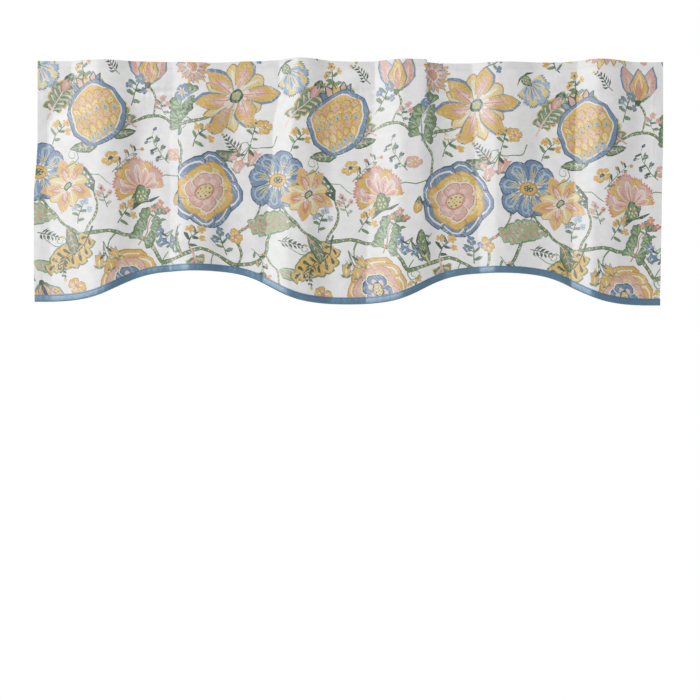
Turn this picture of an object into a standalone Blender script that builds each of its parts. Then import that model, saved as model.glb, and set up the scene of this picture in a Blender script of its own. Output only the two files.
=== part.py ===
"""A scalloped window valance, hanging as it does from a rod through the tabs on its back.

The printed panel falls in six soft upright folds, with a flat hollow at each tab between them. A bound
hem follows its scalloped lower edge. Seven back tabs stand open for the rod.

Units are metres. X runs along the rod, -Y faces the room and Z is up. The origin is the middle of the
top edge, on the front of the cloth where it lies flat between two folds.
"""

import math
from collections import namedtuple

import bpy
from mathutils import Vector

# Cloth
CLOTH = 0.0012  # thickness of the panel
TURNED_CLOTH = 0.0020  # thickness where a hem is turned to the back
TOP_HEM = 0.014
SIDE_HEM = 0.019
HEM_STEP = 0.0015  # run over which a hem's thickness ends
SEWN_GAP = 0.0003  # between one sewn piece and the next

# The hung sides of the panel: X at the heading, and how far each side has swung from there lower down
LEFT_SIDE = -0.585
RIGHT_SIDE = 0.590
Swing = namedtuple("Swing", "drop left right")
SWINGS = (
    Swing(0.140, 0.0, 0.0),
    Swing(0.260, -0.007, -0.0025),
    Swing(0.400, -0.007, -0.0045),
    Swing(0.450, -0.005, -0.0060),
)

# The scalloped lower edge as it hangs: its long points and its rises, left to right
HemPoint = namedtuple("HemPoint", "x drop")
HEM_POINTS = (
    HemPoint(-0.573, 0.450),
    HemPoint(-0.290, 0.392),
    HemPoint(-0.002, 0.455),
    HemPoint(0.282, 0.396),
    HemPoint(0.566, 0.457),
)
HEM_FLATNESS = 1.4  # how flat the points and the rises are, and how steep it is between them

# Binding over the lower edge
BINDING_WIDTH = 0.013
BINDING_CLOTH = 0.0010
BINDING_EDGE_ROOM = 0.0026  # from the outside of its fold to the raw edge inside

# The turns of the strip: how far each stands above the hem's lowest edge, what share of the panel's
# thickness it lies behind the panel's front, and how far forward of there
Turn = namedtuple("Turn", "above_edge through forward")
LEG_FORWARD = SEWN_GAP + 0.5 * BINDING_CLOTH
FOLD_START = LEG_FORWARD + 0.5 * (CLOTH + BINDING_CLOTH)
BINDING_TURNS = (
    Turn(BINDING_WIDTH, 0.0, LEG_FORWARD),
    Turn(FOLD_START, 0.0, LEG_FORWARD),
    Turn(0.5 * BINDING_CLOTH, 0.5, 0.0),
    Turn(FOLD_START, 1.0, -LEG_FORWARD),
    Turn(BINDING_WIDTH, 1.0, -LEG_FORWARD),
)

# Tabs on the back of the heading
TAB_PLACES = (-0.552, -0.362, -0.200, 0.008, 0.206, 0.388, 0.560)
TAB_WIDTH = 0.050
TAB_CLOTH = 0.0014
TAB_SEAM_DROP = 0.056  # the stitch line that shows in each hollow
TAB_TOP_DROP = 0.010
TAB_SEWN_END = 0.007  # length of each flat sewn end
TAB_BOW = 0.036  # how far the tab stands back for the rod
TAB_BOW_FULLNESS = 2.6  # 2 is an ellipse, more is squarer
TAB_BOW_STEPS = 12

# Folds. Each has its sections from the heading down: where the crest is, how wide its rising left flank
# and its falling right flank are, how far it stands forward, and how far each flank is tucked under.
Section = namedtuple("Section", "drop crest rise fall depth rise_tuck fall_tuck")
FOLDS = (
    (
        Section(0.058, -0.468, 0.053, 0.070, 0.017, 0.0, 0.0),
        Section(0.125, -0.464, 0.098, 0.078, 0.022, 0.0, 0.0),
        Section(0.430, -0.466, 0.085, 0.076, 0.020, 0.0, 0.0),
    ),
    (
        Section(0.054, -0.292, 0.040, 0.074, 0.006, 0.0, 0.0),
        Section(0.110, -0.295, 0.042, 0.080, 0.024, 0.0125, 0.0),
        Section(0.330, -0.296, 0.042, 0.080, 0.023, 0.0120, 0.0),
        Section(0.376, -0.297, 0.040, 0.078, 0.018, 0.0, 0.0),
    ),
    (
        Section(0.058, -0.094, 0.036, 0.062, 0.020, 0.0, 0.0),
        Section(0.125, -0.103, 0.041, 0.070, 0.018, 0.0, 0.0),
        Section(0.430, -0.111, 0.051, 0.074, 0.020, 0.0, 0.0),
    ),
    (
        Section(0.058, 0.103, 0.054, 0.084, 0.024, 0.0, 0.0165),
        Section(0.130, 0.107, 0.061, 0.090, 0.023, 0.0, 0.0040),
        Section(0.430, 0.100, 0.064, 0.085, 0.021, 0.0, 0.0),
    ),
    (
        Section(0.058, 0.282, 0.052, 0.084, 0.015, 0.0, 0.0),
        Section(0.125, 0.280, 0.045, 0.088, 0.017, 0.0, 0.0),
        Section(0.430, 0.277, 0.030, 0.090, 0.012, 0.0, 0.0),
    ),
    (
        Section(0.058, 0.472, 0.043, 0.070, 0.018, 0.0, 0.0),
        Section(0.125, 0.468, 0.043, 0.080, 0.018, 0.0, 0.0),
        Section(0.430, 0.460, 0.043, 0.088, 0.020, 0.0, 0.0),
    ),
)

CREST_ROUND = 0.30  # share of a rising flank over which it rounds into the crest
FALL_SKEW = 1.35  # above 1, a falling flank is steepest past its middle

# How far the top edge stands above or below level, along X
TopPoint = namedtuple("TopPoint", "x lift")
TOP_EDGE = (
    TopPoint(-0.585, 0.0022),
    TopPoint(-0.420, 0.0020),
    TopPoint(-0.330, 0.0004),
    TopPoint(-0.260, -0.0016),
    TopPoint(-0.190, 0.0016),
    TopPoint(-0.095, 0.0052),
    TopPoint(0.010, 0.0012),
    TopPoint(0.103, 0.0020),
    TopPoint(0.200, -0.0024),
    TopPoint(0.390, -0.0004),
    TopPoint(0.455, 0.0036),
    TopPoint(0.560, 0.0),
)
LIFT_FADES_AT = 0.15  # drop below which the top edge's unevenness is gone

Lean = namedtuple("Lean", "x shift")

# Mesh lines. Upper ones are level, and lower ones take a growing share of the scallop.
Row = namedtuple("Row", "drop scallop")
ROWS = (
    Row(0.0, 0.0),
    Row(0.036, 0.0),
    Row(0.060, 0.0),
    Row(0.088, 0.0),
    Row(0.118, 0.05),
    Row(0.160, 0.15),
    Row(0.210, 0.30),
    Row(0.262, 0.45),
    Row(0.314, 0.65),
    Row(0.362, 0.85),
    Row(0.406, 1.0),
)
RISE_LINES = (1.0, 0.80, 0.60, 0.42, 0.26, 0.12)  # shares of a rising flank, from its foot
FALL_LINES = (0.0, 0.13, 0.28, 0.43, 0.58, 0.74, 1.0)  # shares of a falling flank, from the crest
FLAT_STEP = 0.022  # widest step between mesh lines in a hollow
LEAST_STEP = 0.0045
ROW_ABOVE_BINDING = 0.004
SLOPE_STEP = 0.002  # reach to each side over which a slope is taken


def smooth(share):
    """0 to 1, level at both ends."""
    share = min(max(share, 0.0), 1.0)
    return share * share * (3.0 - 2.0 * share)


def between(place, rows, place_name, value_name):
    """A column of a table at a place between its rows, run smoothly from row to row."""
    if place <= getattr(rows[0], place_name):
        return getattr(rows[0], value_name)
    for above, below in zip(rows, rows[1:]):
        start, end = getattr(above, place_name), getattr(below, place_name)
        if place <= end:
            first, last = getattr(above, value_name), getattr(below, value_name)
            return first + (last - first) * smooth((place - start) / (end - start))
    return getattr(rows[-1], value_name)


def hem_drop(x):
    """Drop of the lower edge below the top edge: a wave with flattened points and rises."""
    hung = x + drift(x, HEM_POINTS[0].drop)
    if hung <= HEM_POINTS[0].x:
        return HEM_POINTS[0].drop
    for left, right in zip(HEM_POINTS, HEM_POINTS[1:]):
        if hung <= right.x:
            turn = math.cos(math.pi * (hung - left.x) / (right.x - left.x))
            swing = math.tanh(HEM_FLATNESS * turn) / math.tanh(HEM_FLATNESS)
            return 0.5 * (left.drop + right.drop) + 0.5 * (left.drop - right.drop) * swing
    return HEM_POINTS[-1].drop


def hem_stretch(x):
    """How much longer a width square to the hem is when it is measured straight down."""
    slope = (hem_drop(x + SLOPE_STEP) - hem_drop(x - SLOPE_STEP)) / (2.0 * SLOPE_STEP)
    return math.hypot(1.0, slope)


def drift(x, drop):
    """How far the folds and the sides have carried this part of the cloth sideways from the heading."""
    leans = [Lean(LEFT_SIDE, between(drop, SWINGS, "drop", "left"))]
    for sections in FOLDS:
        heading_crest = sections[0].crest
        leans.append(Lean(heading_crest, between(drop, sections, "drop", "crest") - heading_crest))
    leans.append(Lean(RIGHT_SIDE, between(drop, SWINGS, "drop", "right")))
    return between(x, leans, "x", "shift")


def rise_shape(share):
    """A rising flank from its crest, at 0, to its creased foot, at 1: straight but for its round crest."""
    return 1.0 - share * share / (share + CREST_ROUND) * (1.0 + CREST_ROUND)


def fall_shape(share):
    """A falling flank from its crest, at 0, to its foot, at 1: level at both ends."""
    return 0.5 * (1.0 + math.cos(math.pi * share**FALL_SKEW))


def front(x, drop):
    """Front of the cloth, at X along the heading and a drop below the top edge."""
    sideways = drift(x, drop)
    forward = 0.0
    for sections in FOLDS:
        offset = x - sections[0].crest
        rising = offset < 0.0
        width = between(drop, sections, "drop", "rise" if rising else "fall")
        share = abs(offset) / width
        if share >= 1.0:
            continue
        depth = between(drop, sections, "drop", "depth")
        tuck = between(drop, sections, "drop", "rise_tuck" if rising else "fall_tuck")
        if rising:
            forward += depth * rise_shape(share)
            sideways -= tuck * math.sin(2.0 * math.pi * share)
        else:
            forward += depth * fall_shape(share)
            sideways += tuck * math.sin(2.0 * math.pi * share)
    lift = between(x, TOP_EDGE, "x", "lift") * (1.0 - smooth(drop / LIFT_FADES_AT))
    return Vector((x + sideways, -forward, lift - drop))


def facing(x, drop):
    """Unit normal of the front of the cloth."""
    along = front(x + SLOPE_STEP, drop) - front(x - SLOPE_STEP, drop)
    down = front(x, drop + SLOPE_STEP) - front(x, drop - SLOPE_STEP)
    return down.cross(along).normalized()


def mesh_columns():
    """X of each upright mesh line: close on the folds, wide in the hollows."""
    places = [
        LEFT_SIDE,
        LEFT_SIDE + SIDE_HEM,
        LEFT_SIDE + SIDE_HEM + HEM_STEP,
        RIGHT_SIDE - SIDE_HEM - HEM_STEP,
        RIGHT_SIDE - SIDE_HEM,
        RIGHT_SIDE,
    ]
    fixed = set(places)
    for sections in FOLDS:
        crest = sections[0].crest
        rise = max(section.rise for section in sections)
        fall = max(section.fall for section in sections)
        places += [crest - rise * share for share in RISE_LINES]
        places += [crest + fall * share for share in FALL_LINES]
    kept = []
    for place in sorted(places):
        if kept and place - kept[-1] < LEAST_STEP and place not in fixed:
            continue
        if kept and place - kept[-1] < LEAST_STEP and kept[-1] not in fixed:
            kept.pop()
        steps = math.ceil((place - kept[-1]) / FLAT_STEP) if kept else 1
        start = kept[-1] if kept else place
        kept += [start + (place - start) * step / steps for step in range(1, steps)]
        kept.append(place)
    return kept


def loft(name, sections):
    """An open surface through rows of points."""
    width = len(sections[0])
    points = [point for section in sections for point in section]
    corners = [row * width + column for row in range(len(sections) - 1) for column in range(width - 1)]
    faces = [(corner, corner + width, corner + width + 1, corner + 1) for corner in corners]
    mesh = bpy.data.meshes.new(name)
    mesh.from_pydata(points, [], faces)
    mesh.shade_smooth()
    return bpy.data.objects.new(name, mesh)


def thicken(sheet, thickness, offset):
    """Gives a surface its cloth: offset -1 is behind it, and 0 is half to each side."""
    solid = sheet.modifiers.new("Cloth", "SOLIDIFY")
    solid.thickness = thickness
    solid.offset = offset
    return solid


def cloth_material(name, colour, roughness):
    """A plain cloth of one colour."""
    material = bpy.data.materials.new(name)
    material.use_nodes = True
    shader = material.node_tree.nodes["Principled BSDF"]
    shader.inputs["Base Color"].default_value = (*colour, 1.0)
    shader.inputs["Roughness"].default_value = roughness
    shader.inputs["Metallic"].default_value = 0.0
    return material


def in_side_hem(x):
    return x <= LEFT_SIDE + SIDE_HEM or x >= RIGHT_SIDE - SIDE_HEM


def make_panel(columns):
    """The printed cloth, with its turned hems, down to the raw edge inside the binding."""
    rows = []
    for row in ROWS:
        rows.append([(x, row.drop - row.scallop * (HEM_POINTS[-1].drop - hem_drop(x))) for x in columns])
    rows.insert(1, [(x, TOP_HEM) for x in columns])
    rows.insert(2, [(x, TOP_HEM + HEM_STEP) for x in columns])
    for above_edge in (BINDING_WIDTH + ROW_ABOVE_BINDING, BINDING_EDGE_ROOM):
        rows.append([(x, hem_drop(x) - above_edge * hem_stretch(x)) for x in columns])
    panel = loft("panel", [[front(x, drop) for x, drop in row] for row in rows])
    turned = panel.vertex_groups.new(name="turned hems")
    plain = CLOTH / TURNED_CLOTH
    for index, (x, drop) in enumerate(place for row in rows for place in row):
        in_hem = drop <= TOP_HEM or in_side_hem(x)
        turned.add([index], 1.0 if in_hem else plain, "REPLACE")
    solid = thicken(panel, TURNED_CLOTH, -1.0)
    solid.vertex_group = turned.name
    panel.data.materials.append(cloth_material("printed cotton", (0.86, 0.80, 0.68), 0.55))
    return panel


def make_hem_binding(columns):
    """A strip folded over the lower edge: a leg in front, the fold, and a leg behind."""
    sections = []
    for turn in BINDING_TURNS:
        section = []
        for x in columns:
            drop = hem_drop(x) - turn.above_edge * hem_stretch(x)
            cloth = TURNED_CLOTH if in_side_hem(x) else CLOTH
            section.append(front(x, drop) + facing(x, drop) * (turn.forward - turn.through * cloth))
        sections.append(section)
    binding = loft("hem_binding", sections)
    thicken(binding, BINDING_CLOTH, 0.0)
    binding.data.materials.append(cloth_material("blue binding", (0.12, 0.24, 0.36), 0.6))
    return binding


def tab_profile(lower_seat):
    """(drop, distance back) from the tab's upper sewn end, round its bow, to its lower sewn end."""
    half_cloth = 0.5 * TAB_CLOTH
    upper = TURNED_CLOTH + SEWN_GAP + half_cloth
    lower = lower_seat + SEWN_GAP + half_cloth
    middle = 0.5 * (TAB_TOP_DROP + TAB_SEAM_DROP)
    half = 0.5 * (TAB_SEAM_DROP - TAB_TOP_DROP)
    profile = [(TAB_TOP_DROP - TAB_SEWN_END, upper), (TAB_TOP_DROP, upper)]
    for step in range(1, TAB_BOW_STEPS):
        turn = math.pi * step / TAB_BOW_STEPS
        across = math.copysign(abs(math.cos(turn)) ** (2.0 / TAB_BOW_FULLNESS), math.cos(turn))
        back = math.sin(turn) ** (2.0 / TAB_BOW_FULLNESS)
        seat = upper + (lower - upper) * step / TAB_BOW_STEPS
        profile.append((middle - half * across, seat + TAB_BOW * back))
    return profile + [(TAB_SEAM_DROP, lower), (TAB_SEAM_DROP + TAB_SEWN_END, lower)]


def make_tab(number, place, material):
    """A plain strip sewn to the back of the heading at both ends, with room for the rod between."""
    half = 0.5 * TAB_WIDTH
    over_side_hem = place - half < LEFT_SIDE + SIDE_HEM or place + half > RIGHT_SIDE - SIDE_HEM
    sections = []
    for drop, back in tab_profile(TURNED_CLOTH if over_side_hem else CLOTH):
        height = front(place, drop).z
        sections.append([Vector((x, back, height)) for x in (place - half, place + half)])
    tab = loft(f"tab_{number}", sections)
    thicken(tab, TAB_CLOTH, 0.0).use_even_offset = True
    tab.data.materials.append(material)
    return tab


def main():
    for old in list(bpy.data.objects):
        bpy.data.objects.remove(old, do_unlink=True)
    valance = bpy.data.collections.new("window valance")
    bpy.context.scene.collection.children.link(valance)
    columns = mesh_columns()
    tab_cloth = cloth_material("plain cotton", (0.86, 0.84, 0.79), 0.7)
    pieces = [make_panel(columns), make_hem_binding(columns)]
    pieces += [make_tab(number, place, tab_cloth) for number, place in enumerate(TAB_PLACES, 1)]
    for piece in pieces:
        valance.objects.link(piece)


main()
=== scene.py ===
"""Dresses the window valance: its printed cloth, hem binding, back tabs and stitches, and the stage.

The cloth is cut flat, printed, and then hung. Flat places are complex numbers in millimetres: across from
the left edge, and up from the top edge, so drops are negative. Hung places are in metres, in the frame of
the solids: X along the rod, -Y towards the room and Z up.
"""

import cmath
import math
from collections import namedtuple
from functools import cache

import bpy
import numpy as np
from bpy.props import FloatProperty, FloatVectorProperty, PointerProperty
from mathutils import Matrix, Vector
from mathutils.geometry import delaunay_2d_cdt


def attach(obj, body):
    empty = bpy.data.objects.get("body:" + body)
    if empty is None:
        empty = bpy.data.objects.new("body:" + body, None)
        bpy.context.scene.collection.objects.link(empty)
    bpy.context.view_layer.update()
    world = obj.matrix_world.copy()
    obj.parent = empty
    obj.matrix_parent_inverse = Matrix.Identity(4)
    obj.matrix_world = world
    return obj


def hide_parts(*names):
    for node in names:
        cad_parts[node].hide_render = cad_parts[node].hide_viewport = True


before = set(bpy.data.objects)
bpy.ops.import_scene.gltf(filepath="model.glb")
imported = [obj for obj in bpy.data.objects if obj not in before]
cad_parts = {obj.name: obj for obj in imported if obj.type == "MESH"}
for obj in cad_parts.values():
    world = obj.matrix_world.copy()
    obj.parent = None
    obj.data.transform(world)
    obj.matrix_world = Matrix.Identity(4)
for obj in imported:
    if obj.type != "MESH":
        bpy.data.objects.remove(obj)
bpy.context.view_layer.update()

bl_info = {
    "name": "Window Valance Dressing",
    "version": (1, 0, 0),
    "blender": (4, 5, 0),
    "location": "View3D > Sidebar > Valance",
    "description": "Hangs a printed window valance with its binding, back tabs and stitches",
    "category": "Add Mesh",
}

MM = 0.001


# ---- Folds ----

LEFT_SIDE, RIGHT_SIDE = -0.585, 0.590  # X of the sides at the heading

# How far each side has moved in X from there, at drops below the heading
Swing = namedtuple("Swing", "drop left right")
SWINGS = (
    Swing(0.140, 0.0, 0.0),
    Swing(0.260, -0.007, -0.0025),
    Swing(0.400, -0.007, -0.0045),
    Swing(0.450, -0.005, -0.0060),
)

# Drops of the scalloped lower edge at its points and at the rises between them
HemPoint = namedtuple("HemPoint", "x drop")
HEM_POINTS = (
    HemPoint(-0.573, 0.450),
    HemPoint(-0.290, 0.392),
    HemPoint(-0.002, 0.455),
    HemPoint(0.282, 0.396),
    HemPoint(0.566, 0.457),
)
HEM_FLATNESS = 1.4  # more makes its points and rises broader

# Each fold's sections from the heading down: its crest, the widths of its rising left and falling right
# flanks, how far it stands forward, and how far each flank is tucked under
Section = namedtuple("Section", "drop crest rise fall depth rise_tuck fall_tuck", defaults=(0.0, 0.0))
FOLDS = (
    (
        Section(0.058, -0.468, 0.053, 0.070, 0.017),
        Section(0.125, -0.464, 0.098, 0.078, 0.022),
        Section(0.430, -0.466, 0.085, 0.076, 0.020),
    ),
    (
        Section(0.054, -0.292, 0.040, 0.074, 0.006),
        Section(0.110, -0.295, 0.042, 0.080, 0.024, 0.0125),
        Section(0.330, -0.296, 0.042, 0.080, 0.023, 0.0120),
        Section(0.376, -0.297, 0.040, 0.078, 0.018),
    ),
    (
        Section(0.058, -0.094, 0.036, 0.062, 0.020),
        Section(0.125, -0.103, 0.041, 0.070, 0.018),
        Section(0.430, -0.111, 0.051, 0.074, 0.020),
    ),
    (
        Section(0.058, 0.103, 0.054, 0.084, 0.024, 0.0, 0.0165),
        Section(0.130, 0.107, 0.061, 0.090, 0.023, 0.0, 0.0040),
        Section(0.430, 0.100, 0.064, 0.085, 0.021),
    ),
    (
        Section(0.058, 0.282, 0.052, 0.084, 0.015),
        Section(0.125, 0.280, 0.045, 0.088, 0.017),
        Section(0.430, 0.277, 0.030, 0.090, 0.012),
    ),
    (
        Section(0.058, 0.472, 0.043, 0.070, 0.018),
        Section(0.125, 0.468, 0.043, 0.080, 0.018),
        Section(0.430, 0.460, 0.043, 0.088, 0.020),
    ),
)
CREST_ROUND = 0.30  # share of a rising flank over which the crest is rounded
FALL_SKEW = 1.35  # over 1, a falling flank keeps its height longer and then falls faster

# How far the top edge stands above Z 0
TopPoint = namedtuple("TopPoint", "x lift")
TOP_EDGE = (
    TopPoint(-0.585, 0.0022),
    TopPoint(-0.420, 0.0020),
    TopPoint(-0.330, 0.0004),
    TopPoint(-0.260, -0.0016),
    TopPoint(-0.190, 0.0016),
    TopPoint(-0.095, 0.0052),
    TopPoint(0.010, 0.0012),
    TopPoint(0.103, 0.0020),
    TopPoint(0.200, -0.0024),
    TopPoint(0.390, -0.0004),
    TopPoint(0.455, 0.0036),
    TopPoint(0.560, 0.0),
)
LIFT_FADES_AT = 0.15  # the drop from which nothing of that is left
SEAM_DROP = 0.056  # the stitch line of the tabs, seen in each hollow

# What each tab does to the cloth over it: how deep its seam is pinched, how far the pinch reaches to each
# side, how far the cloth swells over the rod space, and how far it falls back below the seam
Pinch = namedtuple("Pinch", "tab x left right groove swell fall_back")
PINCHES = (
    Pinch(1, -0.552, 0.026, 0.030, 0.0007, 0.0016, 0.0022),
    Pinch(2, -0.362, 0.046, 0.036, 0.0022, 0.0036, 0.0040),
    Pinch(3, -0.200, 0.030, 0.034, 0.0010, 0.0022, 0.0028),
    Pinch(4, 0.008, 0.034, 0.036, 0.0016, 0.0030, 0.0036),
    Pinch(5, 0.206, 0.048, 0.030, 0.0018, 0.0034, 0.0038),
    Pinch(6, 0.388, 0.036, 0.030, 0.0014, 0.0026, 0.0032),
    Pinch(7, 0.560, 0.028, 0.024, 0.0009, 0.0018, 0.0024),
)
SWELL_SPREAD = 1.25  # how much wider the swell reaches than the pinch
LOWER_LIP_SHARE = 0.7  # height of the seam's lower lip over its upper one
GATHER_PITCH, GATHER_SHARE = 0.0105, 0.15  # between the gathers at the seam, and their height over the lip's

# Where a tab's effects lie: the drop of each one's middle, and how far above and below that it reaches
Reach = namedtuple("Reach", "drop above below")
SWELL = Reach(0.036, 0.040, 0.022)
UPPER_LIP, LOWER_LIP = Reach(0.050, 0.012, 0.006), Reach(0.062, 0.006, 0.012)
FALL_BACK = Reach(0.088, 0.028, 0.080)
GATHERS = Reach(SEAM_DROP, 0.026, 0.046)

# Soft troughs (and ridges, of a minus depth) in the cloth: the middle of each, half its length, degrees
# that it falls to the right of level, a quarter of its width and its depth in millimetres
Crease = namedtuple("Crease", "x drop reach turn width depth")
CREASES = (
    Crease(-0.404, 0.079, 0.024, 90, 0.0050, 1.7),
    Crease(-0.366, 0.056, 0.046, 0, 0.0035, 1.5),
    Crease(-0.352, 0.073, 0.034, 6, 0.0050, -0.9),
    Crease(-0.563, 0.090, 0.026, 78, 0.0035, 0.9),
    Crease(-0.546, 0.092, 0.028, 84, 0.0035, 0.9),
    Crease(-0.531, 0.086, 0.022, 96, 0.0035, 0.7),
    Crease(-0.210, 0.053, 0.030, 0, 0.0035, 0.9),
    Crease(-0.236, 0.080, 0.030, 88, 0.0045, 1.1),
    Crease(0.010, 0.055, 0.036, 2, 0.0035, 1.1),
    Crease(0.004, 0.074, 0.026, -8, 0.0050, -0.6),
    Crease(0.142, 0.076, 0.024, 90, 0.0045, 1.5),
    Crease(0.184, 0.058, 0.046, 2, 0.0035, 1.2),
    Crease(0.190, 0.140, 0.050, -6, 0.0070, 1.0),
    Crease(0.356, 0.053, 0.030, 0, 0.0035, 0.9),
    Crease(0.400, 0.086, 0.030, 76, 0.0045, 0.8),
    Crease(0.506, 0.052, 0.062, 0, 0.0035, 0.8),
    Crease(0.540, 0.078, 0.024, 100, 0.0045, 0.7),
    Crease(-0.495, 0.240, 0.080, 86, 0.0080, 0.8),
    Crease(-0.150, 0.300, 0.070, 80, 0.0090, 0.9),
    Crease(0.060, 0.330, 0.070, 96, 0.0090, 0.8),
    Crease(0.230, 0.270, 0.080, 84, 0.0090, 0.9),
    Crease(0.400, 0.250, 0.090, 94, 0.0090, 0.8),
)


def smooth(share):
    """0 to 1, level at both ends."""
    share = np.clip(share, 0.0, 1.0)
    return share * share * (3.0 - 2.0 * share)


def between(place, rows, place_name, value_name):
    """A column of a table at places between its rows, run smoothly from row to row."""
    places = [getattr(row, place_name) for row in rows]
    values = [getattr(row, value_name) for row in rows]
    run = np.interp(place, places, np.arange(len(rows)))
    row = np.minimum(run.astype(int), len(rows) - 2)
    start, end = np.asarray(values)[row], np.asarray(values)[row + 1]
    return start + (end - start) * smooth(run - row)


Lean = namedtuple("Lean", "x shift")


def drift(x, drop):
    """How far the folds and the sides carry the cloth sideways from the heading, at one drop."""
    leans = [Lean(LEFT_SIDE, between(drop, SWINGS, "drop", "left"))]
    for sections in FOLDS:
        crest = sections[0].crest
        leans.append(Lean(crest, between(drop, sections, "drop", "crest") - crest))
    leans.append(Lean(RIGHT_SIDE, between(drop, SWINGS, "drop", "right")))
    return between(x, leans, "x", "shift")


def hem_drop(x):
    """Drop of the lower edge: a wave with flattened points and rises."""
    hung = x + drift(x, HEM_POINTS[0].drop)
    run = np.interp(hung, [point.x for point in HEM_POINTS], np.arange(len(HEM_POINTS)))
    left = np.minimum(run.astype(int), len(HEM_POINTS) - 2)
    drops = np.array([point.drop for point in HEM_POINTS])
    swing = np.tanh(HEM_FLATNESS * np.cos(np.pi * (run - left))) / math.tanh(HEM_FLATNESS)
    return 0.5 * (drops[left] + drops[left + 1]) + 0.5 * (drops[left] - drops[left + 1]) * swing


def fold_line(x, drop):
    """The hung line of the cloth at one drop: its places sideways, and how far it stands forward."""
    sideways = drift(x, drop)
    forward = np.zeros_like(x)
    for sections in FOLDS:
        offset = x - sections[0].crest
        row = {name: between(drop, sections, "drop", name) for name in Section._fields[2:]}
        rise = np.clip(-offset / row["rise"], 0.0, 1.0)
        fall = np.clip(offset / row["fall"], 0.0, 1.0)
        rising = row["depth"] * (1.0 - rise * rise / (rise + CREST_ROUND) * (1.0 + CREST_ROUND))
        falling = row["depth"] * 0.5 * (1.0 + np.cos(np.pi * fall**FALL_SKEW))
        forward += np.where(offset < 0.0, rising, falling)
        tuck = -row["rise_tuck"] * np.sin(2.0 * np.pi * rise)
        sideways = sideways + np.where(offset < 0.0, tuck, row["fall_tuck"] * np.sin(2.0 * np.pi * fall))
    return x + sideways, forward


def bump(offset, left, right=None):
    """A soft hill, 1 at its middle and nothing past its reach to each side."""
    right = left if right is None else right
    return smooth(1.0 - np.abs(offset) / np.where(offset < 0.0, left, right))


def unit(vectors):
    """The same vectors, each of length 1."""
    return vectors / np.linalg.norm(vectors, axis=-1, keepdims=True)


def felt(drop, reach):
    """How much of a tab's effect is felt at a drop."""
    return bump(drop - reach.drop, reach.above, reach.below)


def pinched(x, drop):
    """How far the back tabs and the gathers below them bring the cloth forward, or let it fall back."""
    forward = np.zeros_like(x)
    for pinch in PINCHES:
        across = bump(x - pinch.x, pinch.left * SWELL_SPREAD, pinch.right * SWELL_SPREAD)
        seam = bump(x - pinch.x, pinch.left, pinch.right) ** 0.5
        forward += across * pinch.swell * felt(drop, SWELL)
        forward += seam * pinch.groove * (felt(drop, UPPER_LIP) + LOWER_LIP_SHARE * felt(drop, LOWER_LIP))
        forward -= across * pinch.fall_back * felt(drop, FALL_BACK)
        gathers = np.cos((x - pinch.x) * 2.0 * np.pi / GATHER_PITCH + 3.0 * np.sin(x * 61.0))
        forward += seam * gathers * GATHER_SHARE * pinch.groove * felt(drop, GATHERS)
    return forward


def creased(x, drop):
    """How far the creases bring the cloth forward."""
    forward = np.zeros_like(x)
    for crease in CREASES:
        turned = ((x - crease.x) + 1j * (drop - crease.drop)) * cmath.exp(-1j * math.radians(crease.turn))
        forward -= crease.depth * MM * bump(turned.real, crease.reach) * bump(turned.imag, 2.0 * crease.width)
    return forward


CRUMPLE = 0.8  # mm, of which each of its waves has a share
CRUMPLE_WHOLE_AT = 0.10  # the drop from which it is whole


def crumple(x, drop):
    """The cloth's faint unevenness between its folds: long upright waves, fewer level ones."""
    upright = 0.55 * np.sin(x * 74.0 + 2.2 * np.sin(drop * 9.0))
    upright += 0.40 * np.sin(x * 131.0 + 1.0 + 3.0 * np.sin(drop * 7.0 + x * 4.0))
    level = 0.40 * np.sin(drop * 47.0 + x * 21.0) * np.sin(x * 17.0 + 1.3)
    cross = 0.25 * np.sin(drop * 88.0 - x * 63.0 + 0.6) * np.sin(x * 29.0 + drop * 12.0)
    return MM * CRUMPLE * (upright + level + cross) * smooth(drop / CRUMPLE_WHOLE_AT)


# ---- Hanging ----

FLAT_WIDTH = 1240.0  # mm from side to side, once hemmed
LOWEST_DROP = 0.462  # metres, just below the hem
HEM_GUESS = 0.42  # a drop near the hem, from which its own is found
LEVELS, UPRIGHTS = 232, 1241  # of the table of hung places, 2 and 1 mm apart
LINE_POINTS = 2351  # along each level, half a millimetre apart, to measure the length of its folds

# Over a turned hem: how many mm its cloth stands out, in how many metres it rises to that, and the share of
# the hem where its stitches run. Then how many mm these dent the cloth, and how many metres to each side
DOUBLED_RISE, DOUBLED_STEP, SEAM_IN_HEM = 0.35, 0.0015, 0.86
Dent = namedtuple("Dent", "depth reach")
SIDE_DENT, TOP_DENT = Dent(0.40, 0.0030), Dent(0.22, 0.0028)
DENT_EVEN, DENT_UNEVEN = 0.6, 0.4  # its mean share, and how much of it the puckers add and take away


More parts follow.
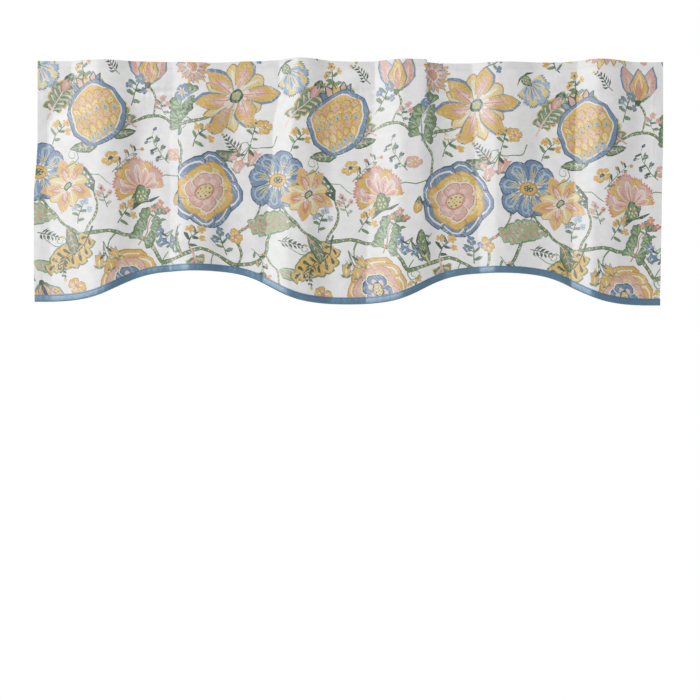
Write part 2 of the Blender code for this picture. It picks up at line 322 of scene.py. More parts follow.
class Hanging:
    """Where each place of the flat cloth hangs, and which way its face looks there."""

    def __init__(self, side_hem, top_hem):
        self.drops = np.linspace(0.0, LOWEST_DROP, LEVELS)
        self.across = np.linspace(0.0, FLAT_WIDTH, UPRIGHTS)
        x = np.linspace(LEFT_SIDE, RIGHT_SIDE, LINE_POINTS)
        self.heading = np.empty((len(self.drops), len(self.across)))
        self.places = np.empty((len(self.drops), len(self.across), 3))
        for row, drop in enumerate(self.drops):
            hung_x, forward = fold_line(x, drop)
            steps = np.hypot(np.diff(hung_x), np.diff(forward))
            length = np.concatenate([[0.0], np.cumsum(steps)])
            heading = np.interp(self.across, length / length[-1] * FLAT_WIDTH, x)
            hung_x, forward = fold_line(heading, drop)
            lift = between(heading, TOP_EDGE, "x", "lift") * (1.0 - smooth(drop / LIFT_FADES_AT))
            relief = pinched(heading, drop) + creased(heading, drop) + crumple(heading, drop)
            relief += self.seam_relief(drop, side_hem, top_hem)
            self.heading[row] = heading
            self.places[row] = np.stack([hung_x, -forward - relief, lift - drop], axis=1)
        down, along = np.gradient(self.places, axis=(0, 1))
        self.normals = unit(np.cross(down, along))

    def seam_relief(self, drop, side_hem, top_hem):
        """The doubled cloth of the hems, the dent of their stitches, and the puckers along these."""
        from_side = np.minimum(self.across, FLAT_WIDTH - self.across) * MM
        puckers = DENT_EVEN + DENT_UNEVEN * np.sin(drop * 640.0 + 3.0 * np.sin(drop * 57.0))
        seam = bump(from_side - side_hem * SEAM_IN_HEM, SIDE_DENT.reach) * puckers
        doubled = 1.0 - smooth((from_side - side_hem) / DOUBLED_STEP)
        doubled = np.maximum(doubled, 1.0 - smooth((drop - top_hem) / DOUBLED_STEP))
        seam_top = bump(np.full_like(from_side, drop - top_hem * SEAM_IN_HEM), TOP_DENT.reach)
        wavy = DENT_EVEN + DENT_UNEVEN * np.sin(self.across * 0.62 + 3.0 * np.sin(self.across * 0.05))
        return MM * (DOUBLED_RISE * doubled - SIDE_DENT.depth * seam - TOP_DENT.depth * seam_top * wavy)

    def level(self, drop):
        """The row of the tables at a drop."""
        return int(round(np.interp(drop, self.drops, np.arange(len(self.drops)))))

    def across_at(self, x, drop):
        """How far across the flat cloth places at the heading lie, at the level of a drop."""
        return np.interp(x, self.heading[self.level(drop)], self.across)

    def look_up(self, table, flat):
        """Values of a table at flat places, between its rows and columns."""
        column = np.clip(flat.real, 0.0, FLAT_WIDTH) / FLAT_WIDTH * (len(self.across) - 1)
        row = np.clip(-flat.imag * MM, 0.0, LOWEST_DROP) / LOWEST_DROP * (len(self.drops) - 1)
        left = np.minimum(column.astype(int), len(self.across) - 2)
        above = np.minimum(row.astype(int), len(self.drops) - 2)
        a, b = (column - left), (row - above)
        if table.ndim == 3:
            a, b = a[:, None], b[:, None]
        upper = table[above, left] * (1 - a) + table[above, left + 1] * a
        lower = table[above + 1, left] * (1 - a) + table[above + 1, left + 1] * a
        return upper * (1 - b) + lower * b

    def hang(self, flat):
        """Places and normals of flat places on the front of the cloth."""
        return self.look_up(self.places, flat), unit(self.look_up(self.normals, flat))

    def lower_edge(self, across, above=0.0):
        """Flat places a length above the lowest edge of the hem, measured square to it."""
        drop = np.full(len(across), HEM_GUESS)
        for _ in range(4):
            drop = hem_drop(self.look_up(self.heading, across - 1j * drop / MM))
        slope = np.gradient(drop, across * MM)
        return across - 1j * (drop - above * np.hypot(1.0, slope)) / MM


# ---- Drawing the print ----

# The inks as colours on a screen, 0 to 255 a channel
INKS = {
    "milk": (246, 245, 241),
    "straw": (246, 223, 142),
    "mustard": (237, 190, 68),
    "ochre": (204, 152, 44),
    "blush": (248, 215, 200),
    "rose": (236, 184, 168),
    "coral": (221, 144, 118),
    "sky": (166, 198, 220),
    "steel": (104, 143, 180),
    "navy": (42, 76, 122),
    "sage": (166, 194, 144),
    "leaf": (110, 149, 94),
    "pine": (40, 82, 48),
}
INK_NAMES = ("ground", *INKS)  # their numbers in the print, where 0 is bare cloth
DEEPER = {"steel": "navy", "mustard": "ochre", "rose": "coral", "sky": "steel", "coral": "ochre"}


class Pen:
    """Draws filled shapes from its own place on the flat cloth, turned and scaled with it."""

    def __init__(self, shapes, place=0j, scale=1 + 0j):
        self.shapes, self.place, self.scale = shapes, place, scale

    def at(self, x=0.0, y=0.0, turn=0.0, size=1.0):
        """A pen at a place of this one, turned to the right by degrees and scaled."""
        turned = self.scale * size * cmath.exp(-1j * math.radians(turn))
        return Pen(self.shapes, self.place + self.scale * complex(x, y), turned)

    def on(self, spot, turn=0.0):
        """A pen at a place given as one number."""
        return self.at(spot.real, spot.imag, turn)

    def fill(self, ink, outline):
        """Lays one shape over those before it."""
        self.shapes.append((ink, self.place + self.scale * np.asarray(outline)))

    def petal(self, ink, *sizes, **shape):
        """Lays a petal or leaf."""
        self.fill(ink, petal(*sizes, **shape))

    def disc(self, ink, *sizes, **shape):
        """Lays a disc."""
        self.fill(ink, disc(*sizes, **shape))

    def layers(self, outline, ink, *rows):
        """Lays an outline, and itself again in each row's ink, length share and width share."""
        self.fill(ink, outline)
        for over, long, wide in rows:
            self.fill(over, outline.real * wide + 1j * outline.imag * long)

    def ring(self, count, start=0.0):
        """A pen for each of several petals round a centre, no two quite alike."""
        for index in range(count):
            uneven = 30.0 * math.sin(2.4 * index + 0.9 * count)
            size = 1.0 + 0.05 * math.sin(3.7 * index + count)
            yield self.at(turn=start + (360.0 * index + uneven) / count, size=size)

    def dots(self, ink, count, radius, size, start=0.0):
        """Lays a ring of small dots."""
        for turn in np.arange(count) * 360.0 / count + start:
            spot = radius * cmath.exp(1j * math.radians(90 - turn))
            self.disc(ink, size, spot, steps=4)


def petal(length, width, belly=1.4, blunt=0.6, bend=0.0, steps=4):
    """A petal or leaf, base at 0 and tip up: belly raises its widest place, a low blunt rounds its ends."""
    share = 0.5 - 0.5 * np.cos(np.pi * np.arange(1, steps + 1) / (steps + 1))
    half = 0.5 * width * np.sin(np.pi * share) ** blunt
    middle = along_bend(length, bend, share ** (1.0 / belly))
    tip = (1j + bend) * length
    return np.concatenate([[0], middle + half, [tip], (middle - half)[::-1]])


def along_bend(length, bend, share):
    """A place on a bent middle line, at a share of its length."""
    return (1j * share + bend * share * share) * length


def scallops(radius, lobes, depth, steps=3, start=0.0):
    """A closed wavy round: rounded lobes with sharp notches between them."""
    turns = np.arange(lobes * steps) / (lobes * steps)
    wave = np.sqrt(np.abs(np.cos(math.pi * lobes * turns)))
    return radius * (1.0 - depth + depth * wave) * np.exp(2j * math.pi * (turns + start))


def disc(radius, place=0j, squash=1.0, steps=7):
    """A round of straight steps, as high as squash times its width."""
    turns = np.exp(2j * math.pi * (np.arange(steps) + 0.5) / steps)
    return place + radius * (turns.real + 1j * squash * turns.imag)


def smooth_path(points, steps=4):
    """A smooth path through points, in cubic stretches."""
    ends = [2 * points[0] - points[1], *points, 2 * points[-1] - points[-2]]
    path = []
    for a, b, c, d in zip(ends, ends[1:], ends[2:], ends[3:]):
        for t in np.arange(steps) / steps:
            square = (2 * a - 5 * b + 4 * c - d) * t * t
            cube = (3 * b - 3 * c + d - a) * t**3
            path.append(0.5 * (2 * b + (c - a) * t + square + cube))
    return np.array(path + [points[-1]])


def ribbon(path, widths):
    """A strip along a path, whose width runs through the given ones."""
    along = np.gradient(path)
    across = 1j * along / np.abs(along)
    half = 0.5 * np.interp(np.linspace(0, 1, len(path)), np.linspace(0, 1, len(widths)), widths)
    return np.concatenate([path - across * half, (path + across * half)[::-1]])


def rosette(pen, outer="steel", second="mustard", third="rose"):
    """Three rings of round petals, one inside the other, with a pale line inside the outer ones."""
    for one in pen.ring(8):
        rows = ((outer, 0.97, 0.93), ("milk", 0.90, 0.78), (outer, 0.86, 0.70))
        one.layers(petal(70, 62, 2.4, 0.55), DEEPER[outer], *rows)
    for one in pen.ring(7, 12):
        deep = DEEPER[second]
        one.layers(petal(54, 48, 2.2, 0.55), deep, (second, 0.96, 0.92), ("straw", 0.80, 0.56))
        for x in (-9, 0, 9):
            one.at(x, 33 - abs(x) * 0.3, x * 1.5).petal(deep, 9, 2.0, 1, 1, steps=1)
    deep = DEEPER[third]
    for one in pen.ring(6, 30):
        rows = ((deep, 0.94, 0.90), (third, 0.89, 0.78), ("blush", 0.66, 0.40))
        one.layers(petal(38, 37, 2.0, 0.6), "milk", *rows)
    pen.fill(deep, scallops(17, 7, 0.2))
    pen.fill("straw", scallops(13, 7, 0.2, start=0.07))
    pen.dots("navy", 7, 9, 1.9)
    pen.dots(deep, 4, 3.6, 1.7)


def carnation(pen, ink="rose", deep="coral", tip="mustard"):
    """A fan of toothed petals out of a scaled green cup."""
    for turn, length in ((-78, 46), (78, 46), (-52, 54), (52, 54), (-26, 60), (26, 60), (0, 63)):
        one = pen.at(0, 12, turn)
        across = np.arange(-6, 7)
        edge = across * 2.5 + 1j * (length - np.where(across % 2, 2.0, 6.5) - np.abs(across) * 0.7)
        one.fill(deep, np.concatenate([[-3], edge + 1.6j, [3]]))
        one.fill(tip if turn % 52 else ink, np.concatenate([[-2], 0.95 * edge, [2]]))
        one.petal("milk", length * 0.74, 15, 2.2, 0.8, steps=3)
        one.petal(ink if turn % 52 else "blush", length * 0.70, 12, 2.2, 0.8, steps=3)
        one.petal(deep, length * 0.58, 3, 1.4, 1.0, steps=2)
    pen.at(0, -16).layers(petal(36, 25, 0.8, 0.6), "pine", ("leaf", 0.94, 0.84))
    for row, count in ((0, 3), (7, 2), (-6, 2)):
        for x in (np.arange(count) - 0.5 * (count - 1)) * 6.5:
            pen.at(x, row - 4).petal("straw", 6, 4, 0.8, 0.7, steps=1)
    for side in (-1, 1):
        pen.at(0, -14, side * 100).petal("pine", 27, 7, 1.0, 1.0, bend=-side * 0.45, steps=3)


def clematis(pen, count=6, ink="mustard", inner="rose", edge="steel", back="straw"):
    """A frontal flower of broad pointed petals, with a dark edge down one side of each."""
    for one in pen.ring(count, 180 / count):
        one.layers(petal(72, 36, 1.5, 0.8, bend=0.05), "ochre", (back, 0.95, 0.86))
        one.petal("milk", 60, 6, 1.4, 1.0, bend=0.05, steps=2)
    for one in pen.ring(count):
        one.petal(edge, 90, 42, 1.4, 0.8, bend=0.04, steps=5)
        one.petal(ink, 86, 36, 1.4, 0.8, bend=-0.01, steps=5)
        one.petal(inner, 64, 19, 1.4, 0.9, bend=-0.01)
        one.petal("blush", 50, 11, 1.4, 1.0, bend=-0.01, steps=3)
        one.petal("coral", 72, 2.6, 1.0, 1.0, bend=-0.01, steps=2)
        for height in (36, 45, 54, 63):
            for side in (-1, 1):
                tick = one.at(side * (13 - abs(height - 44) * 0.2), height, side * 16)
                tick.petal("ochre", 5, 2.2, 1, 1, steps=1)
    for one in pen.ring(10, 15):
        one.petal("milk", 27, 5.5, 1.6, 0.8, steps=2)
        one.disc("coral", 2.0, 26j, steps=4)
    pen.fill("pine", scallops(14, 6, 0.25))
    pen.fill("sage", scallops(9, 6, 0.25, start=0.08))
    pen.dots("mustard", 6, 5, 1.9)


def artichoke(pen, skin="mustard", edge="steel"):
    """A round head of overlapping scales, under a crown of petals and over two leaves."""
    for side in (-1, 1):
        veined_leaf(pen.at(side * 12, -50, side * 112), 58, 26, "leaf", "blush", bend=-side * 0.30)
    for turn, ink in ((-46, edge), (46, edge), (-24, "rose"), (24, "rose"), (0, "mustard")):
        one = pen.at(0, 40, turn)
        one.layers(petal(44, 18, 1.2, 0.9), "pine", (ink, 0.93, 0.74))
        one.petal("milk", 24, 3, 1.0, 1.0, steps=1)
    for ink, share in (("navy", 1.03), (edge, 1.0), ("milk", 0.88), (skin, 0.84)):
        pen.disc(ink, 61 * share, steps=34)
    for row in range(6):
        height = 30 - 14 * row
        reach = math.sqrt(50**2 - height**2)
        count = int(reach / 7.5)
        for x in (np.arange(count) - 0.5 * (count - 1)) * 1.75 * reach / count:
            scale = pen.at(x, height - 13, x * 0.5)
            inner = ("rose", "straw", "sky")[row % 3]
            rows = (("mustard", 0.93, 0.86), (inner, 0.76, 0.52))
            scale.layers(petal(25, 18, 1.3, 0.7, steps=3), "ochre", *rows)
            scale.disc("navy" if row % 3 == 2 else "coral", 1.7, 13j, steps=4)


def anemone(pen, count=8, ink="steel", deep="navy", light="sky"):
    """Eight round petals with pale stripes round a dark eye."""
    for one in pen.ring(count, 8):
        one.layers(petal(60, 45, 2.2, 0.55, steps=5), deep, (ink, 0.96, 0.90))
        one.petal(light, 53, 21, 2.4, 0.6)
        one.petal(ink, 50, 14, 2.4, 0.6)
        for turn in (-13, 0, 13):
            one.at(0, 14, turn).petal("straw", 32, 2.2, 1.2, 1.0, steps=1)
    for one in pen.ring(16):
        one.petal("milk", 25, 4.2, 1.6, 0.8, steps=1)
    pen.fill("ochre", scallops(17, 9, 0.2))
    pen.fill("mustard", scallops(14, 9, 0.2))
    pen.disc("pine", 8.5, steps=9)
    pen.dots("straw", 6, 5, 1.8)


def aster(pen, back="straw", front="coral", centre="steel"):
    """Two rings of narrow pointed petals round a dotted button."""
    for one in pen.ring(12, 15):
        one.layers(petal(56, 17, 1.3, 0.9), "ochre", (back, 0.94, 0.74))
        one.petal("mustard", 44, 4, 1.2, 1.0, steps=1)
    for one in pen.ring(12):
        one.layers(petal(49, 16, 1.5, 0.8), front, ("rose", 0.94, 0.76))
        one.petal("blush", 36, 5, 1.2, 1.0, steps=1)
    pen.fill("milk", scallops(21, 12, 0.18))
    pen.disc(centre, 16.5, steps=14)
    for radius, count in ((13, 12), (8, 7), (3, 3)):
        pen.dots("straw", count, radius, 1.8)


def tulip(pen, ink="mustard", flame="coral", back="rose", edge="steel"):
    """A half-open cup of pointed petals, the front one with a flame."""
    for side in (-1, 1):
        one = pen.at(side * 4, 0, side * 15)
        outline = petal(82, 38, 0.95, 0.8, bend=side * 0.16, steps=5)
        one.layers(outline, edge, (back, 0.95, 0.82))
        one.petal("blush", 62, 11, 0.95, 0.9, bend=side * 0.14, steps=3)
        for height in (22, 32, 42, 52):
            one.disc(flame, 1.9, complex(side * (height * 0.055 + 9), height), steps=4)
    rows = ((ink, 0.95, 0.84), ("straw", 0.82, 0.46), (flame, 0.72, 0.25))
    pen.layers(petal(78, 40, 0.9, 0.8, steps=5), edge, *rows)
    for side in (-1, 1):
        pen.at(side * 3, 6, side * 13).petal("ochre", 44, 3, 1.0, 1.0, bend=-side * 0.05, steps=2)
        pen.at(0, 2, side * 80).petal("leaf", 24, 9, 1.0, 1.0, bend=-side * 0.55, steps=3)
    pen.fill("pine", scallops(8, 5, 0.2))


def veined_leaf(pen, length=52, width=24, ink="leaf", vein="rose", bend=0.18, edge="pine"):
    """A pointed leaf with a rib and three pairs of veins."""
    pen.petal(edge, length, width, 0.9, 0.85, bend=bend, steps=5)
    pen.petal(ink, length * 0.94, width * 0.80, 0.9, 0.85, bend=bend, steps=5)
    pen.fill(vein, ribbon(along_bend(length, bend, np.linspace(0.0, 0.86, 5)), (2.6, 1.6, 0.8)))
    for share in (0.22, 0.40, 0.58):
        spot = along_bend(length, bend, share)
        for side in (-1, 1):
            one = pen.on(spot, side * 44 + math.degrees(2 * bend * share))
            one.petal(vein, width * 0.40, 2.2, 0.8, 1.0, steps=1)


def feather(pen, lobes=6, length=118, width=62, ink="leaf", edge="straw", vein="rose", bend=0.28):
    """A long leaf cut into rounded lobes, with a rib and a vein into each lobe."""
    places = []
    for share in (np.arange(lobes) + 0.6) / (lobes + 0.5):
        reach = 0.5 * width * math.sin(math.pi * (0.16 + 0.74 * share)) ** 0.8
        lean = math.degrees(math.atan(2 * bend * share))
        spot = along_bend(length, bend, share) - 0.14j * share * length
        places += [(spot, lean + side * 62, reach) for side in (-1, 1)]
    places.append(((0.80j + 0.9 * bend) * length, math.degrees(math.atan(2 * bend)), width * 0.40))
    pens = [(pen.on(spot, turn), reach) for spot, turn, reach in places]
    wide = length / lobes * 1.32
    for grow, colour in ((1.0, edge), (0.89, ink)):
        for one, reach in pens:
            one.petal(colour, reach * grow, wide * grow**1.8, 2.3, 0.5)
    body = along_bend(length, bend, np.linspace(0.05, 0.90, 6)) - 0.1j * np.linspace(0.0, length, 6)
    pen.fill(ink, ribbon(body, (width * 0.2, width * 0.46, width * 0.2)))
    for one, reach in pens:
        one.petal(vein, reach * 0.74, wide * 0.26, 2.4, 0.6, steps=2)
    rib = np.linspace(-0.12, 0.92, 7)
    line = (0.9j * rib + bend * np.abs(rib) * rib) * length
    pen.fill(vein, ribbon(line, (4.5, 3.5, 2.2, 1.0)))


def trefoils(pen, ink="leaf", edge="pine", rib="steel"):
    """A spray of round leaflets in threes along a coloured rib."""
    path = smooth_path([-8j, 2 + 22j, -2 + 50j, 6 + 80j], 3)
    sprays = (
        (0.15, -1, 27), (0.2, 1, 30), (0.42, -1, 31), (0.48, 1, 31),
        (0.70, -1, 27), (0.76, 1, 25), (0.92, 0, 26),
    )
    for share, side, reach in sprays:
        spot = path[int(share * (len(path) - 1))]
        one = pen.on(spot, side * 64)
        for turn in (-34, 34, 0):
            leaflet = petal(reach, reach * 0.62, 2.6, 0.5, steps=3)
            one.at(0, 4, turn).layers(leaflet, edge, (ink, 0.94, 0.84), ("sage", 0.72, 0.34))
    pen.fill(rib, ribbon(path, (3.2, 2.4, 1.2)))


def curl_leaf(pen, ink="pine", fleck="milk", length=72, width=30):
    """A curling leaf with pale flecks."""
    points = [0j, 10 + 0.32j * length, 4 + 0.66j * length, -16 + 0.90j * length, -26 + 0.76j * length]
    path = smooth_path(points, 3)
    pen.fill(ink, ribbon(path, (2, width * 0.85, width, width * 0.62, width * 0.30, 0.8)))
    pen.fill("leaf", ribbon(path[2:-2], (1, width * 0.6, width * 0.66, width * 0.30, 1)))
    for share in np.linspace(0.2, 0.72, 6):
        spot = path[int(share * (len(path) - 1))]
        for side in (-1, 1):
            fleck_place = spot + side * (0.18 * width * (1.0 - abs(share - 0.45)) + 1j)
            pen.disc(fleck, 2.1, fleck_place, squash=1.3, steps=4)


def blossom(pen, ink="mustard", centre="coral", radius=17, edge=None):
    """A small flower of five notched petals."""
    for one in pen.ring(5):
        outline = petal(radius, radius * 0.95, 2.0, 0.55, steps=3)
        if edge:
            one.layers(outline, edge, (ink, 0.90, 0.78))
        else:
            one.fill(ink, outline.real * 0.97 + 1j * outline.imag)
        one.petal("milk", radius * 0.66, radius * 0.14, 1.2, 0.9, steps=1)
    pen.disc(centre, radius * 0.28, steps=6)


def bell_spray(pen, ink="mustard", edge="steel"):
    """Three nodding bells with toothed lips, on thin stalks."""
    half = np.array([0.20 + 0.06j, 0.30 + 0.45j, 0.46 + 1.0j, 0.22 + 0.86j])
    outline = np.concatenate([[0], half, [1.12j], -half.conj()[::-1]])
    for x, y, turn in ((-20, 40, 168), (4, 58, 186), (24, 42, 200)):
        stalk = smooth_path([0j, complex(x * 0.35, y * 0.6), complex(x * 0.8, y * 1.02), complex(x, y)], 2)
        pen.fill("leaf", ribbon(stalk, (2.2, 1.6)))
        one = pen.at(x, y, turn)
        one.fill(edge, outline * 27 - 0.8j)
        one.fill(ink, outline * 24)
        one.fill("milk", petal(14, 3, 1.2, 0.9, steps=1) + 3j)
        for side in (-1, 1):
            one.at(0, 1, side * 70).petal("leaf", 12, 5, 1.0, 1.0, steps=1)
            one.disc("coral", 1.5, complex(side * 2.8, 30), steps=4)
    for y, turn in ((10, -60), (20, 58)):
        pen.at(0, y, turn).petal("pine", 20, 7.5, 1.0, 0.9, bend=0.15, steps=2)


def berries(pen, ink="coral", count=6, length=66, bend=0.2):
    """A thin twig with berries and small leaves in turn."""
    pen.fill("leaf", ribbon(along_bend(length, bend, np.linspace(0, 1, 5)), (2.0, 1.3)))
    for index in range(count):
        spot = along_bend(length, bend, (index + 1) / count)
        side = 1 if index % 2 else -1
        one = pen.on(spot, side * 52 + 20 * bend)
        one.petal("leaf", 12, 1.6, 1.0, 1.0, steps=1)
        one.disc(DEEPER[ink], 4.0, 13j, steps=6)
        one.disc(ink, 2.2, -0.6 + 13.8j, steps=4)
        one = pen.on(spot - 5j, -side * 54)
        one.petal("pine" if index % 2 else "leaf", 15, 6.4, 1.0, 0.9, steps=2)


def fern(pen, ink="pine", length=52, pairs=6, bend=-0.25, tip="mustard"):
    """A small frond with a berry at its tip."""
    pen.fill(ink, ribbon(along_bend(length, bend, np.linspace(0, 1, 5)), (2.0, 1.2)))
    for share in 0.18 + 0.8 * np.arange(pairs) / pairs:
        spot = along_bend(length, bend, share)
        for side in (-1, 1):
            one = pen.on(spot, side * 50 + 40 * bend)
            one.petal(ink, 14 * (1.1 - share) + 3, 4.4, 1.0, 0.9, steps=1)
    pen.disc(tip, 3.2, (1j + bend) * length, steps=6)


def bud(pen, ink="rose", deep="coral"):
    """A closed bud in three green sepals."""
    pen.layers(petal(34, 20, 1.1, 0.75), deep, (ink, 0.94, 0.78))
    pen.petal("milk", 26, 3, 1.0, 1.0, steps=1)
    for turn in (-30, 30, 0):
        pen.at(0, -3, turn).petal("pine" if turn else "leaf", 19, 7, 0.9, 0.9, steps=2)


def sprig(pen, ink="mustard", centre="coral", leaves="leaf"):
    """A short leafy stalk with three small flowers."""
    path = along_bend(34, 0.25, np.linspace(-0.3, 1.0, 5))
    pen.fill("pine", ribbon(path, (2.1, 1.5)))
    for share, side in ((-0.1, 1), (0.15, -1), (0.4, 1), (0.65, -1)):
        spot = along_bend(34, 0.25, share)
        pen.on(spot, side * 56 + 12).petal(leaves, 18, 8.2, 0.9, 0.8, bend=side * 0.2, steps=2)
    for x, y, size in ((8, 36, 1.0), (-9, 24, 0.8), (21, 20, 0.8)):
        pen.fill("pine", ribbon(np.array([3 + 14j, complex(x, y)]), (1.3, 1.0)))
        for one in pen.at(x, y, 8 * x, size).ring(5):
            one.petal(ink, 9.5, 8.5, 1.8, 0.6, steps=2)
        pen.disc(centre, 2.6 * size, complex(x, y), steps=5)


def tendril(pen, size=16, ink="leaf"):
    """A thin curl."""
    turns = np.linspace(0.0, 1.4, 13)
    curl = size * (1.0 - 0.48 * turns) * np.exp(2j * math.pi * turns) - size
    start = [(-0.10 - 1.8j) * size, -0.8j * size]
    pen.fill(ink, ribbon(np.concatenate([start, curl]), (2.0, 1.8, 1.3)))


def branch(pen, points, width):
    """A stem. A thick one is striped across on its light side, like a cord."""
    path = smooth_path([complex(x, -drop) for x, drop in points], 5 if width > 3.0 else 3)
    if width < 3.0:
        pen.fill("leaf", ribbon(path, (width, width * 0.9, width * 0.7)))
        return
    pen.fill("pine", ribbon(path, (width, width, width * 0.8)))
    pen.fill("leaf", ribbon(path + 0.1 * width, (width * 0.72, width * 0.72, width * 0.5)))
    along = np.gradient(path)
    along /= np.abs(along)
    stripe = np.array([-1.1 + 0.26j * width, 1.1 + 0.20j * width, 1.4 - 0.26j * width, -0.8 - 0.20j * width])
    for spot, course in zip(path[1:-1], along[1:-1]):
        pen.fill("straw", spot + course * stripe)


# ---- Laying out the print ----

REPEAT = 470.0  # mm from one repeat to the next along the cloth, as drawn
NEXT_ROW = 235.0 - 478.0j  # from a repeat to the one in the row below it
PRINT_SIZE = 1.04  # of the print on the cloth over the drawing
PRINT_LEAN = 1.9  # degrees that the rows of the print fall to the right of level
PRINT_START = 60.0 + 14.0j  # where its first repeat is laid
PRINT_ROWS, PRINT_COLUMNS = range(-1, 2), range(-2, 4)  # of repeats, enough for the whole cut

Branch = namedtuple("Branch", "width points")
BRANCHES = (
    Branch(7.0, ((-36, 262), (2, 300), (50, 322), (108, 316), (160, 330), (196, 372))),
    Branch(6.5, ((196, 372), (236, 352), (290, 346), (344, 366), (392, 350), (434, 262))),
    Branch(6.0, ((86, 150), (112, 120), (160, 106), (214, 122), (262, 116), (300, 92))),
    Branch(5.0, ((214, 122), (236, 160), (240, 196))),
    Branch(5.0, ((344, 366), (352, 320), (378, 292), (392, 240))),
    Branch(4.5, ((50, 322), (70, 290), (62, 250))),
    Branch(4.5, ((392, 350), (416, 376), (424, 410))),
    Branch(4.0, ((160, 106), (168, 76), (154, 46))),
    Branch(2.6, ((300, 346), (296, 386), (312, 416))),
    Branch(2.6, ((108, 316), (96, 344), (104, 380))),
    Branch(2.4, ((418, 130), (404, 152), (376, 160), (356, 148))),
    Branch(2.2, ((246, 196), (214, 214), (182, 210), (158, 226))),
    Branch(2.2, ((30, 196), (44, 214), (72, 214), (96, 230))),
)

Placed = namedtuple("Placed", "motif x drop turn size inks")


def placed(motif, x, drop, turn, size=1.0, **inks):
    """Where a motif stands on the drawing, and the inks that it takes in place of its usual ones."""
    return Placed(motif, x, drop, turn, size, inks)


# Leaves first, then the large flowers over them, then the small ones
MOTIFS = (
    placed(feather, 124, 120, -62, 0.80),
    placed(feather, 60, 322, -150, 0.88, ink="mustard", edge="leaf", vein="pine"),
    placed(feather, 262, 352, 168, 0.92),
    placed(feather, 372, 300, 66, 0.74, ink="sage", edge="leaf", vein="coral"),
    placed(feather, 436, 108, 24, 0.78, vein="blush", edge="mustard"),
    placed(trefoils, 214, 128, 8, 0.84),
    placed(trefoils, 150, 330, 30, 0.78, rib="coral"),
    placed(curl_leaf, 62, 250, -52, 1.12),
    placed(curl_leaf, 344, 366, 158, 1.12),
    placed(veined_leaf, 12, 308, 150, 1.1),
    placed(veined_leaf, 404, 232, 62, 1.2),
    placed(veined_leaf, 236, 352, -20, 1.15, vein="straw"),
    placed(veined_leaf, 302, 176, 70),
    placed(veined_leaf, 160, 226, 196, 1.1),
    placed(veined_leaf, 420, 376, 96, ink="sage", edge="leaf"),
    placed(rosette, 290, 238, 10, 0.96),
    placed(artichoke, 56, 106, -20, 0.90),
    placed(clematis, 318, 66, 16, 0.86),
    placed(anemone, 424, 214, 0, 0.92),
    placed(rosette, 140, 404, 0, 0.84, outer="mustard", second="rose", third="steel"),
    placed(carnation, 152, 250, -20),
    placed(tulip, 154, 52, -6, 0.86),
    placed(aster, 322, 426, 0, 0.92),
    placed(clematis, 12, 236, 40, 0.56, count=5, ink="mustard", inner="coral", edge="rose"),
    placed(tulip, 436, 412, 150, 0.74, ink="rose", flame="navy", back="mustard"),
    placed(carnation, 410, 20, 140, 0.74, ink="sky", deep="steel", tip="straw"),
    placed(aster, 234, 14, 0, 0.62, back="mustard", front="steel", centre="coral"),
    placed(bell_spray, 86, 340, 160, 0.9),
    placed(bell_spray, 214, 306, -140, 0.8, ink="steel", edge="navy"),
    placed(bell_spray, 366, 150, 200, 0.9, ink="rose", edge="coral"),
    placed(berries, 96, 210, 30, 0.9),
    placed(berries, 246, 300, -150, 0.8, ink="steel"),
    placed(berries, 372, 340, 150, 0.9, ink="mustard"),
    placed(berries, 196, 190, -48, 0.9, ink="steel"),
    placed(fern, 350, 170, -30),
    placed(fern, 20, 356, 200),
    placed(fern, 100, 34, -30, 0.9),
    placed(fern, 262, 452, 0, 0.9),
    placed(fern, 428, 320, 120, 0.9),
    placed(bud, 390, 384, -160, 0.9),
    placed(bud, 220, 240, 200, 0.8, ink="mustard", deep="ochre"),
    placed(bud, 6, 34, -160),
    placed(blossom, 40, 420, 0, 1.1, edge="ochre"),
    placed(blossom, 64, 446, 20, 0.9, ink="rose", centre="pine"),
    placed(blossom, 16, 446, 50, 0.9, ink="steel", centre="mustard"),
    placed(blossom, 232, 428, 0, ink="sky", centre="coral", edge="steel"),
    placed(blossom, 86, 186, 40, 0.8, ink="mustard", centre="navy"),
    placed(blossom, 206, 176, 10, 0.8, ink="rose", centre="mustard"),
    placed(blossom, 394, 116, 10, 0.9, edge="ochre"),
    placed(blossom, 214, 60, 30, 0.8, ink="steel", centre="mustard"),
    placed(blossom, 350, 318, 30, 0.8, edge="ochre"),
    placed(blossom, 396, 446, 30, 0.8, ink="rose", centre="navy"),
    placed(sprig, 122, 76, 16, ink="steel", centre="mustard"),
    placed(sprig, 180, 98, -8, 0.75, ink="rose"),
    placed(sprig, 266, 152, 30),
    placed(sprig, 450, 152, 24, 0.9),
    placed(sprig, 112, 292, 28, 0.9),
    placed(sprig, 184, 292, -12, 0.85, ink="coral", centre="straw"),
    placed(sprig, 84, 266, -24, 0.8, ink="rose", centre="navy", leaves="sage"),
    placed(sprig, 320, 340, -14, 0.9, ink="steel", centre="straw"),
    placed(sprig, 262, 334, 24, 0.9, leaves="pine"),
    placed(sprig, 214, 414, -8, 0.8, leaves="sage"),
    placed(sprig, 38, 296, 4, 0.8, ink="sky", centre="coral"),
    placed(sprig, 30, 40, -24, 0.85, centre="navy"),
    placed(sprig, 366, 140, 10, 0.8, centre="navy"),
    placed(sprig, 96, 470, 60, 0.9, ink="steel", centre="coral"),
    placed(sprig, 226, 474, -40, 0.9),
    placed(sprig, 382, 416, 20, 0.7),
    placed(tendril, 26, 196, 60, 0.8),
    placed(tendril, 340, 150, -100, 0.7),
    placed(tendril, 196, 372, 200, 0.8),
    placed(tendril, 466, 350, 120, 0.8),
    placed(tendril, 250, 110, -60, 0.7),
)


